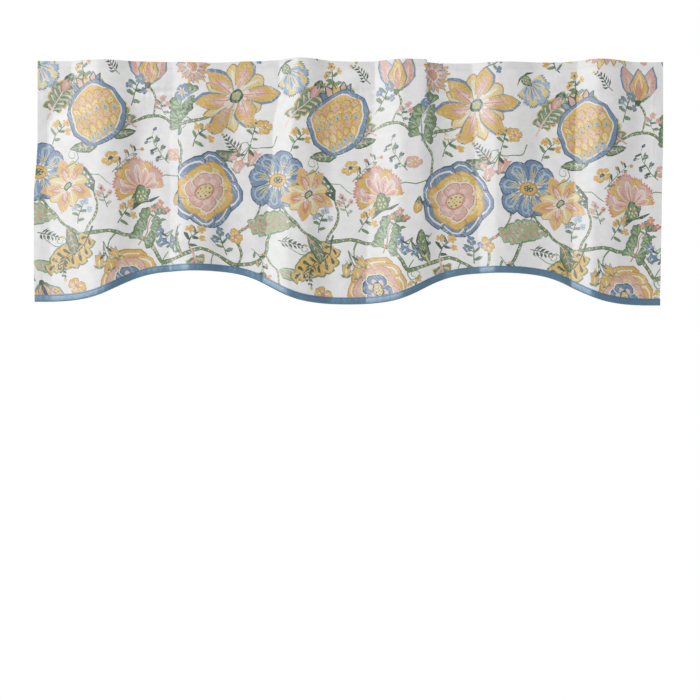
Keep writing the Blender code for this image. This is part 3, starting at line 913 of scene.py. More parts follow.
def drawn_by_hand(place):
    """A drawn place moved a little, so that no line is quite even. It repeats with the print."""
    x, y, turn = place.real, place.imag, 2 * math.pi / REPEAT
    across = 3.0 * np.sin(3 * turn * x + 0.060 * y + 2) + 1.3 * np.sin(0.13 * y - 9 * turn * x)
    across += 0.6 * np.sin(0.47 * y + 23 * turn * x)
    up = 3.0 * np.sin(5 * turn * x + 0.031 * y) + 1.3 * np.sin(12 * turn * x - 0.09 * y + 1)
    up += 0.6 * np.sin(41 * turn * x + 0.21 * y)
    return place + across + 1j * up


PROBES, PROBE_ASIDE = (0.12, 0.5, 0.88), 0.12  # where along an edge its sides are read, and mm aside


class Print:
    """Drawn shapes on the cloth, in the order they are laid."""

    def __init__(self, shapes):
        self.shapes = shapes

    def broad(self, area):
        """The print without its smallest shapes."""
        return Print([shape for shape in self.shapes if outline_area(shape[1]) > area])

    @classmethod
    def over(cls, cut):
        """The print over a cut of cloth."""
        repeat, shapes = [], []
        pen = Pen(repeat)
        for stem in BRANCHES:
            branch(pen, stem.points, stem.width)
        for one in MOTIFS:
            one.motif(pen.at(one.x, -one.drop, one.turn, one.size), **one.inks)
        repeat = [(INK_NAMES.index(ink), drawn_by_hand(outline)) for ink, outline in repeat]
        lean = PRINT_SIZE * cmath.exp(-1j * math.radians(PRINT_LEAN))
        low, high = complex(cut.real.min(), cut.imag.min()), complex(cut.real.max(), cut.imag.max())
        for row in PRINT_ROWS:
            for column in PRINT_COLUMNS:
                for ink, outline in repeat:
                    place = (outline + column * REPEAT + row * NEXT_ROW) * lean + PRINT_START
                    if place.real.max() < low.real or place.real.min() > high.real:
                        continue
                    if place.imag.max() < low.imag or place.imag.min() > high.imag:
                        continue
                    shapes.append((ink, place))
        return cls(shapes)

    def ink_at(self, places):
        """Which ink shows at each place."""
        order = np.argsort(places.real)
        ranked = places[order]
        inks = np.zeros(len(places), dtype=int)
        for ink, outline in self.shapes:
            first, last = np.searchsorted(ranked.real, [outline.real.min(), outline.real.max()])
            heights = ranked[first:last].imag
            near = np.nonzero((heights >= outline.imag.min()) & (heights <= outline.imag.max()))[0]
            if len(near):
                inks[first + near[inside(ranked[first + near], outline)]] = ink
        result = np.empty_like(inks)
        result[order] = inks
        return result

    def edges(self):
        """Start and end of each outline edge that shows: its two sides differ in ink."""
        start = np.concatenate([outline for _, outline in self.shapes])
        end = np.concatenate([np.roll(outline, -1) for _, outline in self.shapes])
        course = end - start
        aside = 1j * PROBE_ASIDE * course / np.maximum(np.abs(course), 1e-6)
        shows = np.zeros(len(start), dtype=bool)
        for share in PROBES:
            place = start + share * course
            shows |= self.ink_at(place + aside) != self.ink_at(place - aside)
        return start[shows], end[shows]


def outline_area(outline):
    """Area inside a closed outline."""
    return abs(0.5 * np.imag(np.conj(outline) * np.roll(outline, -1)).sum())


def inside(places, outline):
    """Which places lie inside a closed outline, by how often it winds round them."""
    start, end = outline, np.roll(outline, -1)
    x, y = places.real[:, None], places.imag[:, None]
    rises = (start.imag <= y) & (end.imag > y)
    falls = (start.imag > y) & (end.imag <= y)
    side = (end.real - start.real) * (y - start.imag) - (x - start.real) * (end.imag - start.imag)
    return (rises & (side > 0)).sum(axis=1) != (falls & (side < 0)).sum(axis=1)


# ---- The printed cloth ----

SIDE_HEM, TOP_HEM = 19.0, 14.0  # mm of cloth turned to the back
CLOTH = 0.35  # mm, its thickness
HEM_ROUND = 0.45  # mm, radius of the turned edges
CORNER_ROUND = 0.45  # mm more where the top hem passes behind a side hem
CORNER_EASE = 3.0  # mm inside a side hem within which that begins
SIDE_HEM_TOP = -0.8  # mm, height where a side hem ends inside the top hem
EDGE_ROOM = 2.6  # mm from the hem's lowest edge up to the raw edge inside the binding
TURN_LINES = (0.0, 0.7, 1.4)  # mm past an edge, where the cloth bends round it
CUT_STEP = 6.0  # mm at most between the places of the cut line
GRID_ACROSS, GRID_DOWN = 10.0, 14.0  # mm between the mesh points of flat bare cloth
FINEST = 2.6  # mm between them across the sharpest folds
SAG = 0.10  # mm that a mesh edge may leave the curved cloth
BEND_SPAN = 8  # mm of cloth over which its bend is measured
STRETCH = 1.6  # length of an outline's edges across a fold over the mesh's steps there

# Where a tucked fold opens or closes: its sides at the heading and its drops, in metres
Tuck = namedtuple("Tuck", "left right top bottom")
TUCKS = (
    Tuck(-0.396, -0.298, 0.044, 0.122),
    Tuck(-0.346, -0.298, 0.318, 0.386),
    Tuck(0.114, 0.182, 0.062, 0.190),
)
TUCK_ACROSS, TUCK_DOWN = 3.6, 6.0  # mm between the mesh points there
SEAM_NEAR = 6.5  # mm to each side of the tabs' seams, where the mesh is closer
CELL, CROWDED = 8.0, 2  # a mesh point is left out of a cell of so many mm that has so many of the print's
NEAR_TOP, NEAR_SIDE, BENT = 22.0, 24.0, 0.7  # mm, and share of GRID_ACROSS, within which none is left out

# Where the mesh points near the edges lie: heights at the top, and distances in from a side and out from
# it round the hem
TOP_HEIGHTS = (13.0, 9.0, 5.0, -3.0, -8.0, -10.5, -12.0, -13.5, -16.0)
INSIDE_SIDE = (3.0, 8.0, 13.5, 15.3, 16.5, 17.8, 19.5, 22.0)
OUTSIDE_SIDE = (19.0, 15.0, 11.0, 7.0, 3.5)


class Cloth:
    """The flat cut of the valance, with its hems still unturned, and how it hangs."""

    def __init__(self):
        self.hanging = Hanging(SIDE_HEM * MM, TOP_HEM * MM)
        self.lower = self.hanging.lower_edge(np.arange(0.0, FLAT_WIDTH + 1.0, 5.0), EDGE_ROOM * MM)
        self.outline = self.cut()
        turned = np.linalg.norm(np.diff(self.hanging.normals, axis=1, append=0.0)[:, :-1], axis=2)
        total, span = np.cumsum(turned, axis=1), BEND_SPAN
        bend = (total[:, span:] - total[:, :-span]) / span
        bend = np.pad(bend, ((0, 0), (span // 2, span // 2 + 1)), mode="edge")
        self.steps = np.clip(np.sqrt(8.0 * SAG / np.maximum(bend, 1e-4)), FINEST, GRID_ACROSS)

    def cut(self):
        """The cut line, once round: the lower edge from left to right, and back along the top."""
        hem = np.linspace(0.0, SIDE_HEM, 5)[1:]
        left = -hem + 1j * np.interp(hem, self.lower.real, self.lower.imag)
        right = FLAT_WIDTH + hem + 1j * np.interp(FLAT_WIDTH - hem, self.lower.real, self.lower.imag)
        hem_top = 1j * SIDE_HEM_TOP
        top_right = FLAT_WIDTH + np.array([SIDE_HEM + hem_top, hem_top, 1j * TOP_HEM])
        top_left = np.array([1j * TOP_HEM, hem_top, hem_top - SIDE_HEM])
        return divided(np.concatenate([left[::-1], self.lower, right, top_right, top_left]), CUT_STEP)

    def hang(self, flat):
        """Places and normals of the printed side, hems turned to the back and all."""
        over_top = np.maximum(flat.imag, 0.0)
        over_left, over_right = np.maximum(-flat.real, 0.0), np.maximum(flat.real - FLAT_WIDTH, 0.0)
        over = over_top + over_left + over_right
        inward = np.where(over_left > 0.0, 1.0, np.where(over_right > 0.0, -1.0, -1j))
        edge = np.clip(flat.real, 0.0, FLAT_WIDTH) + 1j * np.minimum(flat.imag, 0.0)
        from_side = np.minimum(edge.real, FLAT_WIDTH - edge.real)
        corner = (over_top > 0.0) * (1.0 - smooth((from_side - SIDE_HEM) / CORNER_EASE))
        radius = HEM_ROUND + CORNER_ROUND * corner
        turned = np.minimum(over / radius, math.pi)[:, None]
        back = np.maximum(over - math.pi * radius, 0.0)
        places, normals = self.hanging.hang(edge + inward * back)
        outward = unit(self.hanging.hang(edge)[0] - self.hanging.hang(edge + inward * 2.0)[0])
        radius = radius[:, None] * MM
        places += normals * radius * (np.cos(turned) - 1.0) + outward * radius * np.sin(turned)
        return places, normals * np.cos(turned) + outward * np.sin(turned)

    def plain_points(self, crowd):
        """Mesh points for the bare cloth, closer at the hems, and none where the print has plenty."""
        hem, seam = np.array(OUTSIDE_SIDE), np.array(INSIDE_SIDE)
        edges = np.concatenate([-hem, seam, FLAT_WIDTH - seam, FLAT_WIDTH + hem])
        up = np.append(TOP_HEIGHTS, np.arange(-21.0, -LOWEST_DROP / MM, -GRID_DOWN))
        close = [*self.seam_points(), *self.tuck_points()]
        grid = np.concatenate([(edges + 1j * up[:, None]).ravel(), *self.level_points(up), *close])
        kept = inside(grid, self.outline)
        cells, counts = np.unique(cell_numbers(crowd), return_counts=True)
        crowded = np.isin(cell_numbers(grid), cells[counts >= CROWDED])
        free = (grid.imag > -NEAR_TOP) | (np.minimum(grid.real, FLAT_WIDTH - grid.real) < NEAR_SIDE)
        free |= (self.step_at(grid) < BENT * GRID_ACROSS) | (np.abs(grid.imag + SEAM_DROP / MM) < SEAM_NEAR)
        return grid[kept & (free | ~crowded)]

    def level_points(self, up):
        """Rows of mesh points, closer where the cloth bends more."""
        for row, height in enumerate(up):
            middle = np.arange(SIDE_HEM + 8.0, FLAT_WIDTH - SIDE_HEM - 7.0)
            run = np.cumsum(1.0 / self.step_at(middle + 1j * height)) + 0.5 * (row % 2)
            yield np.interp(np.arange(1.0, run[-1]), run, middle) + 1j * height

    def step_at(self, places):
        """How far apart the mesh points should be across the cloth, in mm."""
        return self.hanging.look_up(self.steps, places)

    def split_edges(self, start, end):
        """Edges cut shorter where they run across a sharp fold."""
        spans = np.abs((end - start).real) / (STRETCH * self.step_at(0.5 * (start + end)))
        counts = np.maximum(np.ceil(spans), 1).astype(int)
        owner = np.repeat(np.arange(len(start)), counts)
        part = np.arange(len(owner)) - np.repeat(np.cumsum(counts) - counts, counts)
        course = (end - start)[owner] / counts[owner]
        return start[owner] + course * part, start[owner] + course * (part + 1)

    def seam_points(self):
        """Closer mesh points where the tabs are sewn on."""
        drops = SEAM_DROP / MM + np.linspace(-SEAM_NEAR, SEAM_NEAR, 5)
        for pinch in PINCHES:
            first, last = self.hanging.across_at((pinch.x - pinch.left, pinch.x + pinch.right), SEAM_DROP)
            yield (np.arange(first, last, 6.0) - 1j * drops[:, None]).ravel()

    def tuck_points(self):
        """Closer mesh points where the tucked folds open and close."""
        for tuck in TUCKS:
            drops = np.arange(tuck.top, tuck.bottom, TUCK_DOWN * MM)
            first, last = self.hanging.across_at((tuck.left, tuck.right), tuck.top)
            yield (np.arange(first, last, TUCK_ACROSS) - 1j * drops[:, None] / MM).ravel()

    def turn_lines(self):
        """Lines along which the cloth bends round its edges, as chains of flat places."""
        chains = []
        across = np.linspace(0.0, FLAT_WIDTH, 180)
        for line in TURN_LINES:
            chains.append(across + 1j * line)
            for side, away in ((0.0, -1.0), (FLAT_WIDTH, 1.0)):
                lowest = np.interp(side, self.lower.real, self.lower.imag)
                up = np.arange(SIDE_HEM_TOP, lowest, -7.0)
                chains.append(side + away * line + 1j * np.append(up, lowest))
        return chains


def cell_numbers(places):
    """Which cell of a coarse grid each place lies in."""
    return (places.real // CELL).astype(int) + 1000 * (places.imag // CELL).astype(int)


def divided(line, step):
    """The same closed line, with places no further apart than a step."""
    places = []
    for start, end in zip(line, np.roll(line, -1)):
        count = max(math.ceil(abs(end - start) / step), 1)
        places.append(start + (end - start) * np.arange(count) / count)
    return np.concatenate(places)


def mesh_flat(cloth, design):
    """Triangles over the flat cut that follow the print: their corners' places, and each one's ink."""
    start, end = design.edges()
    within = inside(start, cloth.outline) & inside(end, cloth.outline)
    start, end = cloth.split_edges(start[within], end[within])
    chains = [np.append(cloth.outline, cloth.outline[0]), *cloth.turn_lines()]
    points = np.concatenate([*chains, start, end, cloth.plain_points(start)])
    edges, count = [], 0
    for chain in chains:
        step = np.arange(len(chain) - 1) + count
        edges.append(np.stack([step, step + 1], axis=1))
        count += len(chain)
    step = np.arange(len(start)) + count
    edges.append(np.stack([step, step + len(start)], axis=1))
    points, index = merge_close(points)
    edges = index[np.concatenate(edges)]
    edges = np.unique(np.sort(edges[edges[:, 0] != edges[:, 1]], axis=1), axis=0)
    corners, _, triangles, *_ = delaunay_2d_cdt(
        [Vector((place.real, place.imag)) for place in points], edges.tolist(), [], 0, 0.01, False
    )
    corners, triangles = np.array([complex(*place) for place in corners]), np.array(triangles)
    middles = corners[triangles].mean(axis=1)
    kept = inside(middles, cloth.outline)
    triangles, middles = triangles[kept], middles[kept]
    used, triangles = np.unique(triangles, return_inverse=True)
    return corners[used], triangles.reshape(-1, 3), design.ink_at(middles)


def merge_close(points, step=0.3):
    """One place for each cell of a fine grid, the first found in it, and where each old place went."""
    across, up = np.round(points.real / step), np.round(points.imag / step)
    keys = across.astype(np.int64) * 100000 + up.astype(np.int64)
    _, first, index = np.unique(keys, return_index=True, return_inverse=True)
    return points[first], index.ravel()


# ---- Making meshes ----

def new_piece(name, points, faces, materials):
    """A smooth mesh object from points and faces."""
    mesh = bpy.data.meshes.new(name)
    mesh.from_pydata(points, [], faces)
    mesh.shade_smooth()
    for material in materials:
        mesh.materials.append(material)
    piece = bpy.data.objects.new(name, mesh)
    bpy.context.scene.collection.objects.link(piece)
    return piece


def lay_flat_map(piece, places):
    """The map of the cloth's own directions: one place in metres for each corner of each face."""
    layer = piece.data.uv_layers.new(name="flat")
    layer.data.foreach_set("uv", np.stack([places.real, places.imag], axis=1).ravel())


def run_along(points):
    """How far along a line each of its points lies."""
    return np.concatenate([[0.0], np.cumsum(np.linalg.norm(np.diff(points, axis=0), axis=1))])


def loft(name, sections, materials, lengths, girths):
    """A closed tube through closed sections of like points, with flat ends."""
    count, around = sections.shape[:2]
    corner = np.arange(count * around).reshape(count, around)
    beside = np.roll(corner, -1, axis=1)
    sides = np.stack([corner[:-1], beside[:-1], beside[1:], corner[1:]], axis=2).reshape(-1, 4)
    faces = sides.tolist() + [corner[0, ::-1].tolist(), corner[-1].tolist()]
    piece = new_piece(name, sections.reshape(-1, 3), faces, materials)
    girths = np.append(girths, girths[-1] + girths[1] - girths[0])
    flat = lengths[:, None] + 1j * girths[None, :]
    corners = [flat[:-1, :-1], flat[:-1, 1:], flat[1:, 1:], flat[1:, :-1]]
    ends = [flat[0, -2::-1], flat[-1, :-1]]
    lay_flat_map(piece, np.concatenate([np.stack(corners, axis=2).ravel(), *ends]))
    return piece


# ---- The panel ----

FAINTEST = 120.0  # square mm, the smallest shape of the print that shows on the reverse


def cut_edges(triangles):
    """Edges that only one triangle has, and which triangle that is."""
    sides = np.concatenate([triangles[:, [0, 1]], triangles[:, [1, 2]], triangles[:, [2, 0]]])
    _, first, uses = np.unique(np.sort(sides, axis=1), axis=0, return_index=True, return_counts=True)
    rim = first[uses == 1]
    return sides[rim], rim % len(triangles)


def make_panel(cloth, design, inks, materials):
    """The printed cloth: its face, its reverse close behind, and the cut edge between them."""
    face, face_triangles, face_ink = mesh_flat(cloth, design)
    back, back_triangles, back_ink = mesh_flat(cloth, design.broad(FAINTEST))
    places, normals = cloth.hang(face)
    back_places, back_normals = cloth.hang(back)
    rim, owners = cut_edges(face_triangles)
    back_corners = np.unique(cut_edges(back_triangles)[0])
    behind = back_corners[np.abs(face[rim][..., None] - back[back_corners]).argmin(axis=2)] + len(face)
    rims = np.stack([rim[:, 0], behind[:, 0], behind[:, 1], rim[:, 1]], axis=1)
    reverse = back_triangles[:, ::-1] + len(face)
    points = np.concatenate([places, back_places - back_normals * CLOTH * MM])
    faces = face_triangles.tolist() + reverse.tolist() + rims.tolist()
    panel = new_piece("panel_cloth", points, faces, materials)
    corners = np.concatenate([face_triangles.ravel(), reverse.ravel(), rims.ravel()])
    lay_flat_map(panel, np.concatenate([face, back])[corners] * MM)
    shown = np.concatenate([np.repeat(face_ink, 3), np.repeat(back_ink, 3), np.repeat(face_ink[owners], 4)])
    mesh = panel.data
    colours = mesh.color_attributes.new("ink", "FLOAT_COLOR", "CORNER")
    colours.data.foreach_set("color", np.array(inks, dtype=np.float32)[shown].ravel())
    slots = np.repeat([0, 1, 0], [len(face_triangles), len(reverse), len(rims)])
    mesh.polygons.foreach_set("material_index", slots.astype(np.int32))
    mesh.normals_split_custom_set_from_vertices(np.concatenate([normals, -back_normals]).tolist())
    return panel


# ---- The hem binding ----

BINDING_WIDTH = 13.0  # mm
BINDING_STEP = 3.0  # mm between its sections along the hem
BINDING_LAYERS = 0.72  # mm, the thickness of one leg
BINDING_FRONT = 0.14  # mm from the cloth's face to the front leg
BINDING_BACK = 0.50  # mm from the cloth's face to the back leg
BINDING_BACK_AT_HEM = 1.08  # mm, the same behind a side hem
BINDING_EASE = 4.0  # mm inside a side hem over which the back leg nears the cloth
BINDING_END = 0.9  # mm that its ends stand past the sides
PUCKER_RISE, PUCKER_FILL = 0.10, 0.16  # mm that puckers move its upper edge, and share that they fill it

# Round its section: how far above the hem's lowest edge, how much of a leg's thickness out from the leg's
# inner face, and on which side (1 is the front and -1 the back)
Turn = namedtuple("Turn", "above out side", defaults=(1.0,))
BINDING_LEG = (
    Turn(12.6, 0.0),
    Turn(13.0, 0.25),
    Turn(13.1, 0.65),
    Turn(12.7, 0.95),
    Turn(11.9, 1.0),
    Turn(11.2, 0.72),
    Turn(10.7, 0.70),
    Turn(9.9, 1.02),
    Turn(7.2, 1.18),
    Turn(4.2, 1.20),
    Turn(1.8, 1.05),
    Turn(0.6, 0.9, 0.8),
)
BINDING_TURNS = (
    *BINDING_LEG,
    Turn(0.0, 1.0, 0.0),
    *(turn._replace(side=-turn.side) for turn in BINDING_LEG[::-1]),
    *(Turn(1.6, 0.0, -1.0), Turn(0.9, 0.0, 0.0), Turn(1.6, 0.0)),
)
BINDING_SEAM, BINDING_SEAM_OUT = 10.95, 0.70  # its stitches' height in mm, and how far out they lie on a leg


def hem_places(cloth, across, above):
    """Places, normals and the depth of the back leg along the hem, at a height above its lowest edge."""
    flat = cloth.hanging.lower_edge(across, above * MM)
    places, normals = cloth.hanging.hang(flat)
    from_side = np.minimum(across, FLAT_WIDTH - across)
    hemmed = 1.0 - smooth((from_side - SIDE_HEM) / BINDING_EASE)
    return places, normals, BINDING_BACK + (BINDING_BACK_AT_HEM - BINDING_BACK) * hemmed


def make_binding(cloth, materials):
    """A strip of plain cloth folded over the raw lower edge and stitched through."""
    across = np.linspace(0.0, FLAT_WIDTH, int(FLAT_WIDTH / BINDING_STEP) + 1)
    puckers = np.sin(across * 0.52 + 2.4 * np.sin(across * 0.031)) + 0.6 * np.sin(across * 1.13 + 1.0)
    section = []
    for turn in BINDING_TURNS:
        above = turn.above + (PUCKER_RISE * puckers if turn.above > 10.0 else 0.0)
        places, normals, back = hem_places(cloth, across, above)
        inner = 0.5 * (BINDING_FRONT + back)
        middle = 0.5 * (BINDING_FRONT - back)
        out = turn.out * (1.0 + (PUCKER_FILL * puckers if 2.0 < turn.above < 12.0 else 0.0))
        depth = middle + turn.side * (inner + BINDING_LAYERS * out)
        section.append(places + normals * depth[:, None] * MM)
    sections = np.stack(section, axis=1)
    ends = []
    for first, second in ((0, 1), (-1, -2)):
        away = sections[first].mean(axis=0) - sections[second].mean(axis=0)
        ends.append(sections[first] + unit(away) * BINDING_END * MM)
    sections = np.concatenate([ends[:1], sections, ends[1:]])
    lengths = np.concatenate([[-BINDING_END], across, [FLAT_WIDTH + BINDING_END]]) * MM
    return loft("binding_strip", sections, materials, lengths, run_along(sections[1]))


# ---- The back tabs ----

TAB_WIDTH = 0.050
TAB_TOP_DROP = 0.010  # where the bow leaves the upper sewn end
TAB_SEWN_END = 0.007
TAB_BOW = 0.036  # how far the bow stands back
TAB_BOW_FULLNESS = 2.6  # 2 is an ellipse, more is squarer
TAB_BOW_STEPS = 22
TAB_LAYERS = 1.2  # mm, the thickness of the pressed tube
TAB_AT_HEM = 1.05  # mm from the cloth's face to a tab over a hem
TAB_AT_CORNER = 1.95  # mm, the same over both hems
TAB_ON_CLOTH = 0.45  # mm, the same over the cloth alone
TAB_SOFTNESS = 0.0006  # how far its bow wanders
CORNER_TAB = 1.5  # mm past the side hem up to which a tab's cloth still clears it
CLOTH_NEAR = 0.0020  # to each side of a place, where the tab must clear the cloth

# From a tab's middle to its side: shares of its half width, and its thickness there over the tube's
TAB_SIDE = ((0.0, 1.0), (0.3, 1.0), (0.6, 1.0), (0.82, 1.0), (0.95, 0.95), (0.99, 0.62), (1.0, 0.25))


def back_of_cloth(cloth, x, drop):
    """Y of the rearmost printed cloth near a place across the heading."""
    places = cloth.hanging.places[cloth.hanging.level(drop)]
    return np.array([places[np.abs(places[:, 0] - near) < CLOTH_NEAR, 1].max() for near in x])


def tab_line(cloth, place, x):
    """The middle of a tab's cloth from its upper sewn end round its bow: rows of drops and Ys."""
    corner = np.minimum(x - LEFT_SIDE, RIGHT_SIDE - x) < (SIDE_HEM + CORNER_TAB) * MM
    above = (np.where(corner, TAB_AT_CORNER, TAB_AT_HEM) + 0.5 * TAB_LAYERS) * MM
    below = (np.where(corner, TAB_AT_HEM, TAB_ON_CLOTH) + 0.5 * TAB_LAYERS) * MM
    sewn = [(drop, above) for drop in np.linspace(TAB_TOP_DROP - TAB_SEWN_END, TAB_TOP_DROP, 4)]
    sewn += [(drop, below) for drop in np.linspace(SEAM_DROP, SEAM_DROP + TAB_SEWN_END, 4)]
    ends = [(np.full_like(x, drop), back_of_cloth(cloth, x, drop) + off) for drop, off in sewn]
    upper, lower = ends[3][1], ends[4][1]
    middle, half = 0.5 * (TAB_TOP_DROP + SEAM_DROP), 0.5 * (SEAM_DROP - TAB_TOP_DROP)
    bow = []
    for step in range(1, TAB_BOW_STEPS):
        turn = math.pi * step / TAB_BOW_STEPS
        across = math.copysign(abs(math.cos(turn)) ** (2.0 / TAB_BOW_FULLNESS), math.cos(turn))
        back = abs(math.sin(turn)) ** (2.0 / TAB_BOW_FULLNESS)
        wander = np.sin(x * 90.0 + step * 0.5 + place * 40.0) + 0.5 * np.sin(x * 210.0 - step * 0.9)
        seat = upper + (lower - upper) * step / TAB_BOW_STEPS
        drop = middle - half * across + 0.6 * TAB_SOFTNESS * wander * back
        bow.append((drop, seat + TAB_BOW * back + TAB_SOFTNESS * wander * back))
    return ends[:4] + bow + ends[4:]


def make_tab(cloth, number, place, materials):
    """A pressed tube of plain cloth, sewn to the heading at both ends and open for the rod between."""
    right = np.array(TAB_SIDE)
    share, thick = np.concatenate([right[:0:-1] * (-1, 1), right]).T
    x = place + share * 0.5 * TAB_WIDTH
    rows = tab_line(cloth, place, x)
    drops, backs = np.array(rows).transpose(1, 0, 2)
    lift = between(np.array([place]), TOP_EDGE, "x", "lift")[0]
    line = np.stack([np.tile(x, (len(rows), 1)), backs, lift - drops], axis=2)
    out = np.cross(unit(np.gradient(line, axis=0)), [1.0, 0.0, 0.0])
    half = 0.5 * TAB_LAYERS * MM * thick[None, :, None]
    sections = np.concatenate([line - out * half, (line + out * half)[:, ::-1]], axis=1)
    lengths = run_along(line.mean(axis=1))
    girths = np.concatenate([x - x[0], TAB_WIDTH + (x[-1] - x[::-1])])
    tab = loft(f"tab_{number}_strip", sections, materials, lengths, girths)
    tab["length"] = float(lengths[-1])
    return tab


# ---- Stitches ----

STITCH_PITCH = 3.0  # mm from one stitch to the next
STITCH_LENGTH = 2.4  # mm
STITCH_WIDTH = 0.45  # mm
STITCH_HEIGHT = 0.20  # mm that it stands proud of the cloth
SINK = 0.08  # mm that its ends dive into the cloth

# mm from the inner edges of the top and side hems to their stitches, from the sides to the ends of the top
# hem's, and from those down to the side hems'
TOP_SEAM_IN, SIDE_SEAM_IN, SEAM_ENDS_IN, SEAM_BELOW = 2.0, 2.6, 2.0, 1.5

# Where along a stitch its two sections lie, and round them: how far aside and how far up, as shares of
# its half width and its height
STITCH_SECTIONS = (0.28, 0.72)
STITCH_ROUND = ((1.0, 0.1), (0.5, 0.9), (-0.5, 0.9), (-1.0, 0.1), (0.0, -0.5))


def stitches(starts, ends, normals):
    """Points and faces of one small closed loop of thread for each pair of places."""
    points, faces, around = [], [], len(STITCH_ROUND)
    aside = unit(np.cross(normals, ends - starts))
    for start, end, normal, side in zip(starts, ends, normals, aside):
        first = len(points)
        sink = normal * SINK * MM
        points.append(start - sink)
        for share in STITCH_SECTIONS:
            middle = start + (end - start) * share
            for across, up in STITCH_ROUND:
                out = side * across * 0.5 * STITCH_WIDTH + normal * up * STITCH_HEIGHT
                points.append(middle + out * MM)
        points.append(end - sink)
        for index in range(around):
            beside = (index + 1) % around
            near, far = first + 1 + index, first + 1 + beside
            faces.append((first, far, near))
            faces.append((near, far, far + around, near + around))
            faces.append((near + around, far + around, first + 1 + 2 * around))
    return points, faces


def flat_seam(cloth, start, end):
    """Stitches straight from one flat place to another, on the printed side."""
    count = max(int(abs(end - start) / STITCH_PITCH), 1)
    course = (end - start) / abs(end - start)
    middles = start + course * STITCH_PITCH * (np.arange(count) + 0.5)
    first, normals = cloth.hanging.hang(middles - course * STITCH_LENGTH / 2)
    last, _ = cloth.hanging.hang(middles + course * STITCH_LENGTH / 2)
    return first, last, normals


def make_stitches(name, seams, material):
    """One piece of thread for several seams."""
    points, faces = [], []
    for starts, ends, normals in seams:
        more_points, more_faces = stitches(starts, ends, normals)
        faces += [tuple(corner + len(points) for corner in face) for face in more_faces]
        points += more_points
    return new_piece(name, points, faces, [material])


# ---- Finishes ----

def linear(red, green, blue):
    """A colour of 0 to 255 a channel, as on a screen, in linear light."""
    shares = (red / 255.0, green / 255.0, blue / 255.0)
    return tuple(share / 12.92 if share <= 0.04045 else ((share + 0.055) / 1.055) ** 2.4 for share in shares)


def new_group(name, inputs, outputs):
    """A shader node group, its inputs (each a value, or Color or Vector) and its outputs' kinds."""
    group = bpy.data.node_groups.new(name, "ShaderNodeTree")
    for label, value in inputs.items():
        kind = value if isinstance(value, str) else "Float"
        socket = group.interface.new_socket(label, in_out="INPUT", socket_type=f"NodeSocket{kind}")
        if kind == "Float":
            socket.default_value = value
    for label, kind in outputs.items():
        group.interface.new_socket(label, in_out="OUTPUT", socket_type=f"NodeSocket{kind}")
    return group, group.nodes.new("NodeGroupInput").outputs, group.nodes.new("NodeGroupOutput").inputs


def add_node(tree, kind, links=(), **settings):
    """A shader node with its settings, and what feeds each of its inputs: a socket or a value."""
    node = tree.nodes.new("ShaderNode" + kind)
    for name, value in settings.items():
        setattr(node, name, value)
    for socket, source in dict(links).items():
        if isinstance(source, bpy.types.NodeSocket):
            tree.links.new(source, node.inputs[socket])
        else:
            node.inputs[socket].default_value = source
    return node


def add_math(tree, operation, first, second=0.0, third=0.0):
    return add_node(tree, "Math", {0: first, 1: second, 2: third}, operation=operation).outputs[0]


def product(tree, first, *others):
    for other in others:
        first = add_math(tree, "MULTIPLY", first, other)
    return first


def ramp(tree, source, start, end):
    """0 up to a start and 1 from an end."""
    return add_node(tree, "MapRange", {0: source, "From Min": start, "From Max": end}).outputs[0]


def noise(tree, place, scale, detail):
    return add_node(tree, "TexNoise", {"Vector": place, "Scale": scale, "Detail": detail}).outputs[0]


def blend(tree, share, first, second):
    """The first colour, and a share of the second over it."""
    return add_node(tree, "Mix", {0: share, 6: first, 7: second}, data_type="RGBA").outputs[2]


def tint(tree, colour, **changes):
    """A colour with another Value or Saturation, by a share Fac."""
    return add_node(tree, "HueSaturation", {"Color": colour, **changes}).outputs[0]


def raise_surface(tree, shader, height, strength, distance):
    """Bends a shader's normal as a height in metres would."""
    links = {"Height": height, "Strength": strength, "Distance": distance}
    tree.links.new(add_node(tree, "Bump", links).outputs[0], shader.inputs["Normal"])


def flat_place(tree):
    """Where a point lies on the flat cloth, in metres."""
    return add_node(tree, "UVMap", uv_map="flat").outputs[0]


SLUB_STRETCHES = ((26.0, 1500.0, 1.0), (1500.0, 20.0, 1.0))  # how often slubs change along X and Y, a metre


def weave_group():
    """Plain weave with slubs: a height, and a mask of the thicker threads."""
    group, given, put = new_group(
        "Weave",
        {"Place": "Vector", "Threads": 1800.0, "Slubs": 0.5},
        {"Height": "Float", "Slub Mask": "Float"},
    )
    place = given["Place"]
    split = add_node(group, "SeparateXYZ", {0: place})
    waves = []
    for axis in ("X", "Y"):
        turn = product(group, split.outputs[axis], given["Threads"], math.pi)
        waves.append(add_math(group, "SINE", turn))
    weave = add_math(group, "MULTIPLY_ADD", product(group, *waves), 0.5, 0.5)
    masks = []
    for stretch in SLUB_STRETCHES:
        mapped = add_node(group, "Mapping", {"Vector": place, "Scale": stretch}).outputs[0]
        masks.append(ramp(group, noise(group, mapped, 1.0, 1.0), 0.50, 0.78))
    mask = product(group, add_math(group, "MAXIMUM", *masks), given["Slubs"])
    group.links.new(add_math(group, "ADD", weave, mask), put["Height"])
    group.links.new(mask, put["Slub Mask"])
    return group


